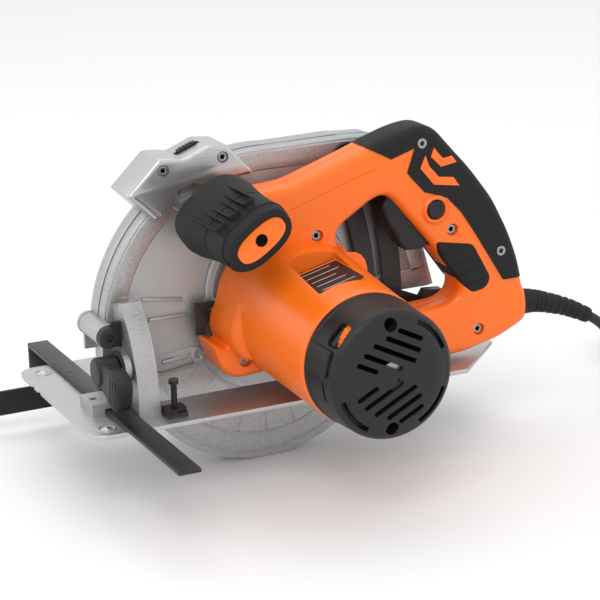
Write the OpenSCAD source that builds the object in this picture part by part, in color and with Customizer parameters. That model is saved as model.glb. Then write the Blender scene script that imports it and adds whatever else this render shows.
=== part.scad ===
// Hand-held circular saw. X runs from the front of the cut (-X) to the cord (+X), Y from the
// motor side (-Y) to the blade side (+Y), Z up. The origin is on the sole's underside, on the
// line of cut, straight below the blade's arbor.

/* [Blade and guards] */
// Diameter of the saw blade
blade_d = 190; // [184:1:192]
// Thickness of the blade's plate
blade_t = 1.8; // [1.2:0.1:2.4]
// Diameter of the blade's bore
bore_d = 20; // [16:1:22]
// Height of the arbor over the sole's underside, which sets the depth of cut
arbor_z = 44; // [40:1:54]
// Outer radius of the fixed upper guard
upper_r = 117; // [112:1:124]
// Outer radius of the swinging lower guard
lower_r = 102; // [100:1:105]
// Wall of both guards
guard_wall = 1.8; // [1.4:0.1:2.4]
// Depth of the upper guard on the motor side of the cut line
guard_near = 12; // [12:0.5:14]
// Depth of the upper guard on the far side of the cut line
guard_far = 10; // [9.5:0.5:13]

/* [Sole] */
// Distance from the arbor to the sole's front edge
sole_front = 148; // [140:1:160]
// Distance from the arbor to the sole's rear edge
sole_rear = 168; // [160:1:190]
// Distance from the cut line to the edge on the motor side
sole_near = 72; // [66:1:90]
// Distance from the cut line to the edge on the far side
sole_far = 81; // [60:1:100]
// Thickness of the sole
sole_t = 3; // [2:0.5:4]
// Length of the cut-off corner behind the motor
sole_chamfer = 44; // [20:1:50]
// Height of the bevel axis over the sole's underside
bevel_z = 12; // [11:0.5:14]
// Distance from the bevel axis to the clamping bolt
bevel_r = 45; // [42:0.5:48]

/* [Motor] */
// Radius of the motor housing where it meets the end cap
motor_r = 44; // [42:0.5:48]
// Length of the motor housing from its flange to the end cap
motor_len = 113; // [100:1:125]
// Length of the end cap
cap_len = 40; // [36:1:48]
// Wall of the housing and the cap
shell = 2.6; // [2:0.1:3.2]
// Module of the reduction gears
gear_m = 0.725; // [0.7:0.005:0.75]
// Teeth of the motor pinion
pinion_teeth = 9; // [9:1:9]
// Teeth of the drive gear
drive_teeth = 36; // [36:1:36]

/* [Handles] */
// Face of the main handle towards the motor side
handle_near = 56; // [54:1:62]
// Thickness of the main handle
handle_w = 28; // [24:1:30]
// Length of the front grip
grip_len = 80; // [60:1:84]
// Diameter of the trigger's pivot pin
trigger_pin_d = 4; // [3:0.5:5]

/* [Depth and parallel guide] */
// Radius of the arc that guides the depth setting
depth_arc_r = 203; // [200:1:208]
// Diameter of the depth clamping bolt
depth_bolt_d = 5.4; // [5:0.2:6]
// Width of the parallel guide's bar
bar_w = 15; // [12:0.5:15.5]
// Thickness of the parallel guide's bar
bar_t = 3; // [2:0.5:3.5]

/* [Cord] */
// Diameter of the power cord
cord_d = 7; // [6:0.5:8]
// Turns that lie in the coil
coil_turns = 7.5; // [4:0.5:9]

/* [Hidden] */

$fn = 48;
// Play of a running fit, on the radius
run = 0.05;
// Play between pieces that only lie near each other
gap = 0.3;

orange = [0.95, 0.42, 0.08];
black = [0.13, 0.13, 0.14];
cast = [0.74, 0.75, 0.76];
steel = [0.6, 0.61, 0.63];

journal_r = 18.4;
bore_r = bore_d / 2;
blade_r = blade_d / 2;

// Gears and the two shafts
centre_distance = gear_m * (pinion_teeth + drive_teeth) / 2;
motor_angle = 10;
motor_x = centre_distance * cos(motor_angle);
motor_z = arbor_z + centre_distance * sin(motor_angle);
gear_y = -31;
gear_t = 8;
spindle_r = 7.5;
shaft_r = 4;

// Stations along Y, from the guard's face to the end of the cap
boss_y = -16;
flange_y = -22;
seam_y = flange_y - motor_len;
cap_y = seam_y - cap_len;
flange_r = 48;
flange_x = 8;
flange_z = 60;
boss_x = 10;
boss_z = 64;
boss_r = 54;
clear_sole = 2;
fan_y = -60;
core_y = -70;
core_len = 36;
core_r = 22;
commutator_y = -114;
commutator_r = 12;
bearing_out = 11;
near_bearing_y = -54;
seat = 0.06;
cap_bearing_y = cap_y + 4;

// Depth pivot, barrel and arc
pivot_x = -118.5;
pivot_z = 53.5;
barrel_r = 7.7;
barrel_near = -24;
barrel_far = 6;
pivot_pin_r = 3;
arc_y = -18.6;
arc_t = 2.4;
arc_w = 17;
bolt_r = depth_bolt_d / 2;
lever_angle = -1.7;
lever_x = pivot_x + depth_arc_r * cos(lever_angle);
lever_z = pivot_z + depth_arc_r * sin(lever_angle);

// Bevel parts, from the front to the back
tilt_x = -115;
tilt_t = 5;
quad_x = -109;
quad_w = 14.5;
web_t = 4.5;
rim_y = 25;
rim_z = 14.5;
rim_r = 79;
bolt_angle = 150;
bolt_y = bevel_r * cos(bolt_angle);
bolt_z = bevel_z + bevel_r * sin(bolt_angle);
bevel_bolt_r = 3;
bevel_pin_r = 3;
rear_x = 112;
rear_t = 4;

// Parallel guide
bar_x = -125;
bar_z = sole_t + 0.2;
bar_near = -160;
bar_far = 125;

// Handle
far_y = handle_w - handle_near;
mid_y = (far_y - handle_near) / 2;
grip_y = -37;
grip_x = -46;
grip_z = 130;
grip_tilt = 35;
trigger_x = 78;
trigger_z = 124;
button_x = 109;
button_z = 114;
button_r = 6.4;
dial_x = 2;
dial_z = 66;
dial_y = -149;
dial_r = 17;

// Cord: the boot leaves the handle, and the cord then falls to the surface below the guard
floor_z = arbor_z - lower_r;
boot = [[181, -42, 34], [200, -42, 31], [220, -42, 24], [238, -42, 15]];
route = [[238, -42, 15], [247, -41, 9], [257, -38, 0], [267, -34, -11], [276, -30, -23],
         [285, -25, -34], [294, -19, -43], [303, -13, -49], [312, -6.5, -53], [319, -0.6, -54.3],
         [325.8, 5.8, -54.5]];
coil_x = 366;
coil_y = 34;
coil_r = 38.5;
coil_layers = 3;

// ---------- helpers ----------

// Points of an arc in a plane, angles in degrees
function arc(cx, cy, r, from, to, n = 12) =
    [for (i = [0:n]) [cx + r * cos(from + (to - from) * i / n), cy + r * sin(from + (to - from) * i / n)]];

// A shape drawn in X and Z, given thickness along Y
module plate_y(from, to) {
    translate([0, to, 0]) rotate([90, 0, 0]) linear_extrude(to - from) children();
}

// A shape drawn in Y and Z, given thickness along X
module plate_x(from, to) {
    translate([from, 0, 0]) rotate([90, 0, 90]) linear_extrude(to - from) children();
}

module rod_y(r, from, to, x = 0, z = 0, r2 = undef) {
    translate([x, from, z]) rotate([-90, 0, 0])
        cylinder(r1 = r, r2 = is_undef(r2) ? r : r2, h = to - from);
}

module rod_x(r, from, to, y = 0, z = 0) {
    translate([from, y, z]) rotate([0, 90, 0]) cylinder(r = r, h = to - from);
}

module ring_y(r_out, r_in, from, to, x = 0, z = 0) {
    difference() {
        rod_y(r_out, from, to, x, z);
        rod_y(r_in, from - 1, to + 1, x, z);
    }
}

// Recessed pan-head screw along Y: its head looks towards -Y
module screw_y(x, z, head_y, head_r = 3.4, shank_r = 1.6, length = 14) {
    difference() {
        rod_y(head_r, head_y, head_y + 2.4, x, z);
        for (a = [0, 90])
            translate([x, head_y, z]) rotate([0, a, 0]) cube([head_r * 1.2, 2, 0.9], center = true);
    }
    rod_y(shank_r, head_y + 2.4, head_y + length, x, z);
}

// Outline of the spur gear, drawn about its own axis
module gear_outline(teeth, m) {
    pitch = m * teeth / 2;
    tip = pitch + 0.85 * m;
    root = pitch - 1.15 * m;
    step = 360 / teeth;
    polygon([for (i = [0:teeth - 1]) each [
        for (k = [[root, -0.30], [pitch, -0.215], [tip, -0.10], [tip, 0.10], [pitch, 0.215], [root, 0.30]])
            [k[0] * cos((i + k[1]) * step), k[0] * sin((i + k[1]) * step)]]]);
}

// ---------- sole ----------

module sole_outline() {
    r = 12;
    c = sole_chamfer;
    difference() {
        polygon(concat(
            arc(-sole_front + r, -sole_near + r, r, 180, 270, 8),
            [[sole_rear - c, -sole_near], [sole_rear, -sole_near + c]],
            arc(sole_rear - r, sole_far - r, r, 0, 90, 8),
            arc(-sole_front + r, sole_far - r, r, 90, 180, 8)));
        slot_half = slot_len / 2;
        translate([-slot_half, slot_near]) square([slot_len, slot_far - slot_near]);
        for (y = [34, 47])
            translate([-sole_front, y]) rotate(45) square(5, center = true);
    }
}

// The slot leaves room for the lower guard, upright and tilted to 45 degrees
slot_len = 2 * sqrt(pow(lower_r, 2) - pow(arbor_z - sole_t - 1, 2)) + 5;
slot_near = -28;
slot_far = 12;

module base_plate() {
    color(cast) linear_extrude(sole_t) sole_outline();
}

module plate_rivets() {
    color(cast) for (y = [-60, 66])
        translate([-134, y, sole_t]) rotate_extrude() intersection() {
            translate([0, -3.2]) circle(r = 5);
            square([5, 3]);
        }
}

module rim_section(r) {
    translate([rim_y, rim_z]) circle(r = r, $fn = 96);
}

module bevel_quadrant() {
    color(cast) difference() {
        union() {
            // raised rim that carries the scale
            plate_x(quad_x, quad_x + quad_w) intersection() {
                difference() {
                    rim_section(rim_r);
                    rim_section(rim_r - 6);
                }
                translate([-60, sole_t]) square([36, 74 - sole_t]);
            }
            // web with the arc slot, and the ear of the front bevel pin
            plate_x(quad_x, quad_x + web_t) difference() {
                union() {
                    intersection() {
                        rim_section(rim_r - 5);
                        difference() {
                            translate([0, bevel_z]) circle(r = bevel_r + 16);
                            translate([0, bevel_z]) circle(r = bevel_r - 7);
                        }
                        polygon([[-70, sole_t], [-4, sole_t], [-4, bevel_z + 45.5], [-12.4, bevel_z + 54],
                                 [-16, 76], [-70, 80]]);
                    }
                    translate([0, bevel_z]) circle(r = bevel_z - sole_t);
                    translate([-50, sole_t]) square([50, bevel_z - sole_t]);
                }
            }
            // bridge over the guide bar
            translate([bar_x - 9, -34, sole_t]) cube([bar_w + 12, 24, 7.8]);
            translate([bar_x + bar_w + 1, -48, sole_t]) cube([quad_w + 0.3, 32, 4]);
        }
        // slot for the clamping bolt
        plate_x(quad_x - 1, quad_x + web_t + 1) polygon(concat(
            arc(0, bevel_z, bevel_r + bevel_bolt_r + gap, 100, 154, 18),
            arc(0, bevel_z, bevel_r - bevel_bolt_r - gap, 154, 100, 18)));
        rod_x(bevel_pin_r + run, quad_x - 1, quad_x + web_t + 1, 0, bevel_z);
        // tunnel for the guide bar
        translate([bar_x - 0.3, -60, sole_t - 1]) cube([bar_w + 0.6, 80, bar_t + 1.6]);
        // room for the tilting bracket and its pin in front of the web
        translate([tilt_x - 1.5, -9, bar_z + bar_t + 0.3]) cube([tilt_t + 1.8, 40, 30]);
        translate([bar_x - 4, -22, sole_t + 4]) cylinder(r = 2.4, h = 20);
    }
}

module bevel_stop_screw() {
    color(steel) translate([-86, -58, sole_t]) {
        translate([0, 0, 6]) cylinder(r = 2, h = 16);
        translate([0, 0, 22]) cylinder(r = 3.6, h = 3, $fn = 6);
        difference() {
            translate([-7, -6, 0]) cube([14, 12, 6]);
            translate([0, -8, 3]) cube([20, 4, 6]);
        }
    }
}

module rear_bevel_bracket() {
    color(black) plate_x(rear_x, rear_x + rear_t) difference() {
        union() {
            translate([0, bevel_z]) circle(r = bevel_z - sole_t);
            translate([-9, sole_t]) square([18, bevel_z - sole_t]);
        }
        translate([0, bevel_z]) circle(r = bevel_pin_r + run);
    }
    color(black) translate([rear_x, -16, sole_t]) cube([22, 32, 2.4]);
}

// ---------- tilting frame ----------

module tilt_bracket() {
    color(cast) difference() {
        union() {
            plate_x(tilt_x, tilt_x + tilt_t) union() {
                translate([0, bevel_z]) circle(r = 5.2);
                translate([bolt_y, bolt_z]) circle(r = 9);
                polygon([[-3, bevel_z - 4], [bolt_y - 5, bolt_z - 7], [bolt_y - 5, bolt_z + 8],
                         [-27, 44], [5, bevel_z + 2]]);
                translate([-28, 26]) square([36, 18]);
            }
            // ears of the depth pivot
            plate_y(barrel_near - 3.3, barrel_near - gap) ear_outline();
            plate_y(barrel_far + gap, barrel_far + 3.3) ear_outline();
        }
        rod_x(bevel_bolt_r + run, tilt_x - 1, tilt_x + tilt_t + 1, bolt_y, bolt_z);
        rod_x(bevel_pin_r, tilt_x - 1, tilt_x + tilt_t + 1, 0, bevel_z);
        rod_y(pivot_pin_r + 0.03, -60, 60, pivot_x, pivot_z);
    }
}

module ear_outline() {
    translate([pivot_x, pivot_z]) circle(r = 8);
    translate([pivot_x - 4, 36]) square([12, pivot_z - 36]);
}

module bevel_pins() {
    color(steel) {
        rod_x(bevel_pin_r, tilt_x, quad_x + web_t, 0, bevel_z);
        rod_x(4.6, tilt_x - 2, tilt_x, 0, bevel_z);
        rod_x(bevel_pin_r, rear_x - rear_t - gap, rear_x + rear_t, 0, bevel_z);
        rod_x(5, rear_x + rear_t + gap, rear_x + rear_t + 2, 0, bevel_z);
        rod_x(bevel_pin_r, rear_x + rear_t, rear_x + rear_t + gap, 0, bevel_z);
    }
}

module depth_pivot_bolt() {
    color(black) {
        rod_y(pivot_pin_r, barrel_near - 3.3, barrel_far + 6, pivot_x, pivot_z);
        difference() {
            rod_y(7.2, barrel_near - 7.5, barrel_near - 3.3, pivot_x, pivot_z);
            rod_y(2.6, barrel_near - 8, barrel_near - 6, pivot_x, pivot_z);
        }
        rod_y(5.5, barrel_far + 3.3, barrel_far + 6, pivot_x, pivot_z);
        translate([pivot_x + 2, barrel_near - 6.5, pivot_z - 7]) cube([6.6, 3.2, 17]);
    }
}

// Plate with the arc slot that sets the depth, and its foot on the rear bevel pin
module depth_arc() {
    color(black) {
        plate_y(arc_y, arc_y + arc_t) difference() {
            polygon(concat(
                arc(pivot_x, pivot_z, depth_arc_r + arc_w, -9.5, 24, 20),
                arc(pivot_x, pivot_z, depth_arc_r - arc_w + 1, 24, -9.5, 20)));
            polygon(concat(
                arc(pivot_x, pivot_z, depth_arc_r + bolt_r + gap, lever_angle - 1.2, 22.3, 20),
                arc(pivot_x, pivot_z, depth_arc_r - bolt_r - gap, 22.3, lever_angle - 1.2, 20)));
        }
        plate_x(rear_x - rear_t - gap, rear_x - gap) difference() {
            union() {
                translate([0, bevel_z]) circle(r = 7);
                translate([arc_y, bevel_z - 1]) square([-arc_y, 8]);
            }
            translate([0, bevel_z]) circle(r = bevel_pin_r);
        }
        translate([rear_x - 30, arc_y, bevel_z + 7.5]) cube([30 - gap, arc_t, 10]);
        translate([rear_x - rear_t - gap, arc_y, bevel_z - 1]) cube([rear_t, arc_t, 14]);
    }
}

// ---------- knob, guide and lever ----------

module bevel_knob() {
    knob_x = tilt_x - 2.5;
    color(black) {
        // hub, serrated washer and two wings
        rod_x(9, knob_x - 12, knob_x, bolt_y, bolt_z);
        translate([0, bolt_y, bolt_z]) rotate([12, 0, 0]) plate_x(knob_x - 14, knob_x - 2) {
            polygon([[-5, -7], [-5, 7], [-12, 8], [-20, 12], [-31, 12], [-34, 8], [-34, -8], [-31, -12], [-20, -12], [-12, -8]]);
            polygon([[4, -7], [10, -6], [10.6, 0], [10, 6], [4, 7]]);
        }
        rod_x(11.5, knob_x, knob_x + 2.2, bolt_y, bolt_z);
    }
    color(steel) rod_x(bevel_bolt_r, knob_x + 2.2, quad_x + web_t + 4, bolt_y, bolt_z);
    color(steel) rod_x(5.5, quad_x + web_t + gap, quad_x + web_t + 3.5, bolt_y, bolt_z);
}

module parallel_guide() {
    color(black) {
        translate([bar_x, bar_near, bar_z]) cube([bar_w, bar_far - bar_near, bar_t]);
        translate([bar_x, bar_far - bar_t, -26]) cube([bar_w, bar_t, 26 + bar_z]);
        plate_y(bar_far - bar_t, bar_far) polygon(concat(
            arc(-166, -30, 4, 90, 180, 4), arc(-166, -40, 4, 180, 270, 4),
            arc(-86, -40, 4, 270, 360, 4), arc(-86, -30, 4, 0, 90, 4)));
    }
}

module depth_lever() {
    color(black) difference() {
        union() {
            rod_y(8.5, arc_y - 6.3, arc_y - gap, lever_x, lever_z);
            plate_y(arc_y - 5.8, arc_y - 2) polygon([
                [lever_x + 2, lever_z + 8], [lever_x - 2, lever_z - 8],
                [lever_x + 30, lever_z - 13], [lever_x + 30, lever_z - 4]]);
            plate_y(arc_y - 8, arc_y - 1) polygon([
                [lever_x + 28, lever_z - 14], [lever_x + 45, lever_z - 12],
                [lever_x + 45, lever_z], [lever_x + 32, lever_z + 1], [lever_x + 28, lever_z - 5]]);
        }
        rod_y(bolt_r + run, arc_y - 10, arc_y + 1, lever_x, lever_z);
    }
}

module depth_bolt() {
    color(steel) {
        rod_y(bolt_r, arc_y - 6.3, -guard_near - 0.2, lever_x, lever_z);
        rod_y(5, arc_y - 8, arc_y - 6.3 - 0.1, lever_x, lever_z);
    }
}

// ---------- guards ----------

// Side view of the upper guard: the round part about the arbor and the chute behind its top
module guard_outline(grow = 0) {
    translate([0, arbor_z]) circle(r = upper_r + grow, $fn = 120);
    polygon([[0, arbor_z + upper_r - 0.6 + grow], [60 + grow / 2, arbor_z + upper_r + grow],
             [97 + grow, arbor_z + upper_r - 7 + grow], [110 + grow, 118 + grow / 2],
             [131 + grow, 46], [60, 46]]);
}

// Everything above the guard's lower edge
module guard_clip(front_low = 46) {
    polygon([[-130, front_low], [-106, front_low], [-103.4, 30], [-93, 14], [-73, 14], [-46, 18],
             [0, 26], [60, 36], [95, 46], [180, 46], [180, 220], [-130, 220]]);
}

module upper_guard() {
    seam = -3;
    color(cast) difference() {
        union() {
            plate_y(-guard_near, seam) intersection() {
                guard_outline();
                guard_clip();
            }
            // boss that carries the motor and the outer spindle bearing
            plate_y(boss_y, -guard_near) intersection() {
                translate([boss_x, boss_z]) circle(r = boss_r, $fn = 96);
                translate([-200, 18]) square([400, 200]);
            }
            plate_y(flange_y, boss_y) intersection() {
                translate([flange_x, flange_z]) circle(r = flange_r - 4, $fn = 96);
                translate([-200, 18]) square([400, 200]);
            }
            // barrel of the depth pivot
            rod_y(barrel_r, barrel_near, barrel_far, pivot_x, pivot_z);
            // journal that the lower guard turns on
            ring_y(journal_r, spindle_r + 3, -guard_near + guard_wall - 0.5, -8.2, 0, arbor_z);
            // fin between the front grip and the line guide
            plate_y(-17, -guard_near) polygon([[-66, 132], [-52, 120], [-44, 126], [-50, 138]]);
            translate([0, 0, 0]) rod_y(6, -14, -guard_near, -50, 26);
            // seat of the depth bolt
            rod_y(6, -14.5, -guard_near, lever_x, lever_z);
        }
        // hollow that the blade and the lower guard run in
        difference() {
            plate_y(-guard_near + guard_wall, seam + 1) guard_hollow();
            rod_y(journal_r, -guard_near, -8.2, 0, arbor_z);
        }
        rod_y(spindle_r + 3, -40, 0, 0, arbor_z);
        // seats of the outer spindle bearing, and the hollow behind it for the drive gear
        rod_y(bearing_out + 0.02, -guard_near - 7, -guard_near + 1, 0, arbor_z);
        rod_y(drive_teeth * gear_m / 2 + 3, flange_y - 1, -guard_near - 7, 0, arbor_z);
        rod_y(pivot_pin_r + run, -60, 60, pivot_x, pivot_z);
        rod_y(bolt_r + 0.02, -20, -guard_near - 0.2, lever_x, lever_z);
        rod_y(dust_r + 0.05, -14, 0, dust_x, dust_z);
        // window that the quadrant's web reaches into
        difference() {
            translate([quad_x - 2.6, -guard_near - 1, 40]) cube([web_t + 6.7, 8.5, 32]);
            rod_y(barrel_r + 0.3, -60, 60, pivot_x, pivot_z);
        }
        // pocket that the spindle lock slides in
        translate([-60, flange_y - 0.1, 41]) cube([36, 2.2, 24]);
        // the pinion runs in this corner
        rod_y(pinion_teeth * gear_m / 2 + 2, flange_y - 1, -guard_near - 7, motor_x, motor_z);
    }
}

module guard_hollow() {
    intersection() {
        difference() {
            union() {
                translate([0, arbor_z]) circle(r = upper_r - guard_wall, $fn = 120);
                polygon([[0, arbor_z + upper_r - guard_wall - 0.6], [59, arbor_z + upper_r - guard_wall],
                         [95, arbor_z + upper_r - 9], [108, 117], [129, 46], [60, 46]]);
            }
            translate([pivot_x, pivot_z]) circle(r = barrel_r + 0.1);
        }
        translate([-150, -80]) square([300, 300]);
    }
}

module guard_cover() {
    color(cast) difference() {
        plate_y(-3, guard_far) difference() {
            intersection() {
                guard_outline(0.4);
                guard_clip(46);
            }
            translate([pivot_x, pivot_z]) circle(r = 8.4);
            translate([-140, 30]) square([140 + pivot_x + 8.4, pivot_z - 30]);
        }
        plate_y(-4, guard_far - guard_wall) guard_hollow();
        // opening around the arbor, for the blade bolt
        rod_y(30, -10, 60, 0, arbor_z);
    }
}

module guard_screws() {
    color(steel) for (p = [[-87, 116], [88, 136], [116, 60]])
        rod_y(3, guard_far, guard_far + 2.2, p[0], p[1]);
}

dust_x = 64;
dust_z = 146;
dust_r = 9;

module dust_plug() {
    color(black) {
        rod_y(dust_r, -guard_near, -guard_near + guard_wall, dust_x, dust_z);
        rod_y(dust_r + 2.5, -15.8, -guard_near, dust_x, dust_z);
    }
}

// Drum around the lower half of the blade, open upwards. It turns about the arbor.
module lower_guard() {
    near = -9.6;
    far = 7.6;
    color(cast) difference() {
        union() {
            plate_y(near, near + 1.5) translate([0, arbor_z]) circle(r = 29);
            plate_y(near, far) guard_sector(lower_r);
        }
        plate_y(near + 1.5, far - 1.5) translate([0, arbor_z]) circle(r = lower_r - 1.8, $fn = 120);
        rod_y(journal_r + run, near - 1, near + 3, 0, arbor_z);
        rod_y(30, 0, far + 1, 0, arbor_z);
    }
}

// The sector runs from just above the horizontal at the front to the horizontal at the rear
module guard_sector(r) {
    intersection() {
        translate([0, arbor_z]) circle(r = r, $fn = 120);
        polygon([[0, arbor_z + 20], [-160, arbor_z + 8], [-160, -200], [160, -200], [160, arbor_z - 4]]);
    }
}

// ---------- blade and spindle ----------

module saw_blade() {
    teeth = 24;
    body_r = blade_r - 5;
    color(steel) plate_y(-blade_t / 2, blade_t / 2) translate([0, arbor_z]) difference() {
        polygon([for (i = [0:teeth - 1]) each [
            for (k = [[body_r, 0], [blade_r, 0.04], [blade_r - 0.6, 0.3], [body_r - 1, 0.55], [body_r - 3, 0.92]])
                [k[0] * cos((i + k[1]) * 360 / teeth), k[0] * sin((i + k[1]) * 360 / teeth)]]]);
        circle(r = bore_r + run);
        for (a = [0:90:270]) rotate(a + 20) translate([body_r - 22, 0]) circle(r = 3);
    }
}

// Stepped shaft: journal in the guard, seat of the gear, and the rear journal
module spindle() {
    color(steel) difference() {
        union() {
            rod_y(spindle_r, gear_y - gear_t - 9, -blade_t / 2 - 4, 0, arbor_z);
            rod_y(bore_r - 1, -blade_t / 2 - 4, blade_t / 2 - 0.2, 0, arbor_z);
        }
        rod_y(4.03, -14, 20, 0, arbor_z);
        for (z = [-1, 1]) translate([-20, -blade_t / 2 - 3, arbor_z + z * 14.4])
            cube([40, 30, 14], center = true);
    }
}

module inner_flange() {
    color(steel) difference() {
        union() {
            rod_y(17, -blade_t / 2 - 3, -blade_t / 2, 0, arbor_z);
            rod_y(bore_r, -blade_t / 2, blade_t / 2, 0, arbor_z);
        }
        rod_y(bore_r - 0.98, -20, 20, 0, arbor_z);
    }
}

module outer_flange() {
    color(steel) difference() {
        rod_y(17, blade_t / 2, blade_t / 2 + 3, 0, arbor_z);
        rod_y(4, -20, 20, 0, arbor_z);
    }
}

module arbor_bolt() {
    color(steel) {
        rod_y(4, -13.5, blade_t / 2 + 3, 0, arbor_z);
        rod_y(10, blade_t / 2 + 3, blade_t / 2 + 4.5, 0, arbor_z);
        difference() {
            rod_y(7.5, blade_t / 2 + 4.5, blade_t / 2 + 10, 0, arbor_z);
            translate([0, blade_t / 2 + 6, arbor_z]) rotate([-90, 0, 0]) cylinder(r = 4.2, h = 8, $fn = 6);
        }
    }
}

module drive_gear() {
    color(steel) plate_y(gear_y - gear_t, gear_y) translate([0, arbor_z]) difference() {
        rotate(motor_angle) gear_outline(drive_teeth, gear_m);
        circle(r = spindle_r + 0.02);
    }
}

module bearing(r_in, r_out, y, w, x, z) {
    ring_y(r_in + 2.2, r_in, y, y + w, x, z);
    ring_y(r_out, r_out - 2.2, y, y + w, x, z);
    ring_y(r_out - 2.2, r_in + 2.2, y + 1, y + w - 1, x, z);
}

// The front bearing sits in the guard's boss, the rear one in the motor housing
module spindle_bearings() {
    color(steel) {
        bearing_pair(spindle_r, bearing_out, -guard_near - 6.9, 6.5, 0, arbor_z);
        bearing_pair(spindle_r, bearing_out - 0.6, gear_y - gear_t - 8.5, 6, 0, arbor_z);
    }
}

module bearing_pair(r_in, r_out, y, w, x, z) {
    ring_y(r_out, r_in + run, y, y + w, x, z);
}

// ---------- motor ----------

module armature_shaft() {
    color(steel) {
        rod_y(shaft_r, cap_bearing_y, gear_y - gear_t, motor_x, motor_z);
        plate_y(gear_y - gear_t, gear_y) translate([motor_x, motor_z])
            rotate(motor_angle + 180 + 180 / pinion_teeth) gear_outline(pinion_teeth, gear_m);
    }
}

module armature_core() {
    color("peru") difference() {
        union() {
            rod_y(core_r, core_y - core_len, core_y, motor_x, motor_z);
            rod_y(core_r - 6, core_y - core_len - 7, core_y + 3, motor_x, motor_z);
        }
        rod_y(shaft_r + 0.02, -200, 0, motor_x, motor_z);
        for (a = [0:30:330]) translate([motor_x, 0, motor_z]) rotate([0, a, 0])
            translate([core_r, core_y - core_len / 2, 0]) cube([3, core_len + 2, 1.6], center = true);
    }
}

module commutator() {
    color("peru") ring_y(commutator_r, shaft_r + 0.02, commutator_y - 14, commutator_y, motor_x, motor_z);
}

module cooling_fan() {
    color(black) {
        ring_y(10, shaft_r + 0.02, fan_y - 4, fan_y + 4, motor_x, motor_z);
        ring_y(32, 9, fan_y + 2.4, fan_y + 4, motor_x, motor_z);
        for (a = [0:30:330]) translate([motor_x, 0, motor_z]) rotate([0, a, 0])
            translate([9, fan_y - 4, -0.8]) cube([22, 7, 1.6]);
    }
}

module armature_bearings() {
    color(steel) {
        ring_y(9, shaft_r + run, cap_bearing_y, cap_bearing_y + 7, motor_x, motor_z);
        ring_y(bearing_out, shaft_r + run, near_bearing_y, near_bearing_y + 5, motor_x, motor_z);
    }
}

module stator() {
    color(steel) difference() {
        rod_y(motor_r - shell - 3.5, core_y - core_len + 2, core_y - 2, motor_x, motor_z);
        rod_y(core_r + 1, core_y - core_len - 1, core_y + 2, motor_x, motor_z);
        for (s = [-1, 1]) translate([motor_x + s * 42, core_y - core_len / 2, motor_z])
            cube([14, 60, 30], center = true);
    }
}

module brush_holders() {
    color("goldenrod") for (s = [-1, 1]) {
        translate([motor_x + s * 23, commutator_y - 7, motor_z]) cube([21, 9, 9], center = true);
        translate([motor_x + s * 31, commutator_y - 7, motor_z]) cube([5, 14, 14], center = true);
    }
}

// Outer form of the motor housing: a taper from the flange to the seam, with the screw ear
module housing_form(inset = 0, back = 0) {
    intersection() {
        hull() {
            rod_y(flange_r - inset, flange_y - 16, flange_y - back, flange_x, flange_z, flange_r - 2 - inset, $fn = 64);
            rod_y(motor_r + 0.6 - inset, seam_y, seam_y + 2 + back, motor_x, motor_z, $fn = 64);
        }
        translate([-200, -200, sole_t + clear_sole + inset]) cube([400, 220, 300]);
    }
}

ear_x = -31;
ear_z = 29;

module motor_housing() {
    color(orange) difference() {
        union() {
            housing_form();
            hull() {
                rod_y(12, -50, flange_y, ear_x, ear_z, $fn = 32);
                rod_y(12, -50, flange_y, ear_x + 26, ear_z + 14, $fn = 32);
            }
            hull() {
                rod_y(11, -50, flange_y, ear_x - 6, ear_z + 10, $fn = 32);
                rod_y(12, -50, flange_y, ear_x + 20, ear_z + 24, $fn = 32);
            }
        }
        // hollow for the motor, and the gear case in front of the partition
        translate([0, 0, 0]) rod_y(motor_r - shell, seam_y - 1, near_bearing_y - 1.5, motor_x, motor_z);
        rod_y(bearing_out + seat, near_bearing_y - 3, near_bearing_y + 6, motor_x, motor_z);
        rod_y(drive_teeth * gear_m / 2 + 3, gear_y - gear_t - 1.5, 0, 0, arbor_z);
        rod_y(bearing_out - 0.6 + seat, gear_y - gear_t - 9, gear_y, 0, arbor_z);
        rod_y(pinion_teeth * gear_m / 2 + 3, near_bearing_y, 0, motor_x, motor_z);
        rod_y(5, -60, -44, ear_x, ear_z);
        rod_y(1.7, -50, flange_y + 1, ear_x, ear_z);
        spindle_lock_slot();
        // flat that the label lies in
        label_block(0);
    }
}

module label_block(lift) {
    translate([motor_x + 4, 0, motor_z]) rotate([0, -14, 0])
        translate([-16, -116, motor_r + 1.4 + lift]) cube([34, 44, 12]);
}

module label_plate() {
    color([0.5, 0.5, 0.52]) translate([motor_x + 4, 0, motor_z]) rotate([0, -14, 0])
        translate([-14, -114, motor_r + 1.4]) cube([30, 40, 0.5]);
}

module spindle_lock_slot() {
    translate([-60, -22.6, 48]) cube([60, 3.2, 17]);
}

module spindle_lock() {
    color(black) plate_y(-21.8, -20.2) difference() {
        union() {
            translate([-54, 49]) square([24, 15]);
            translate([-54, 42]) square([7, 12]);
        }
        translate([-44, 53]) square([8, 7]);
    }
}

module housing_screws() {
    color(steel) screw_y(ear_x, ear_z, -47, 3.6, 1.7, 30);
}

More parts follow.
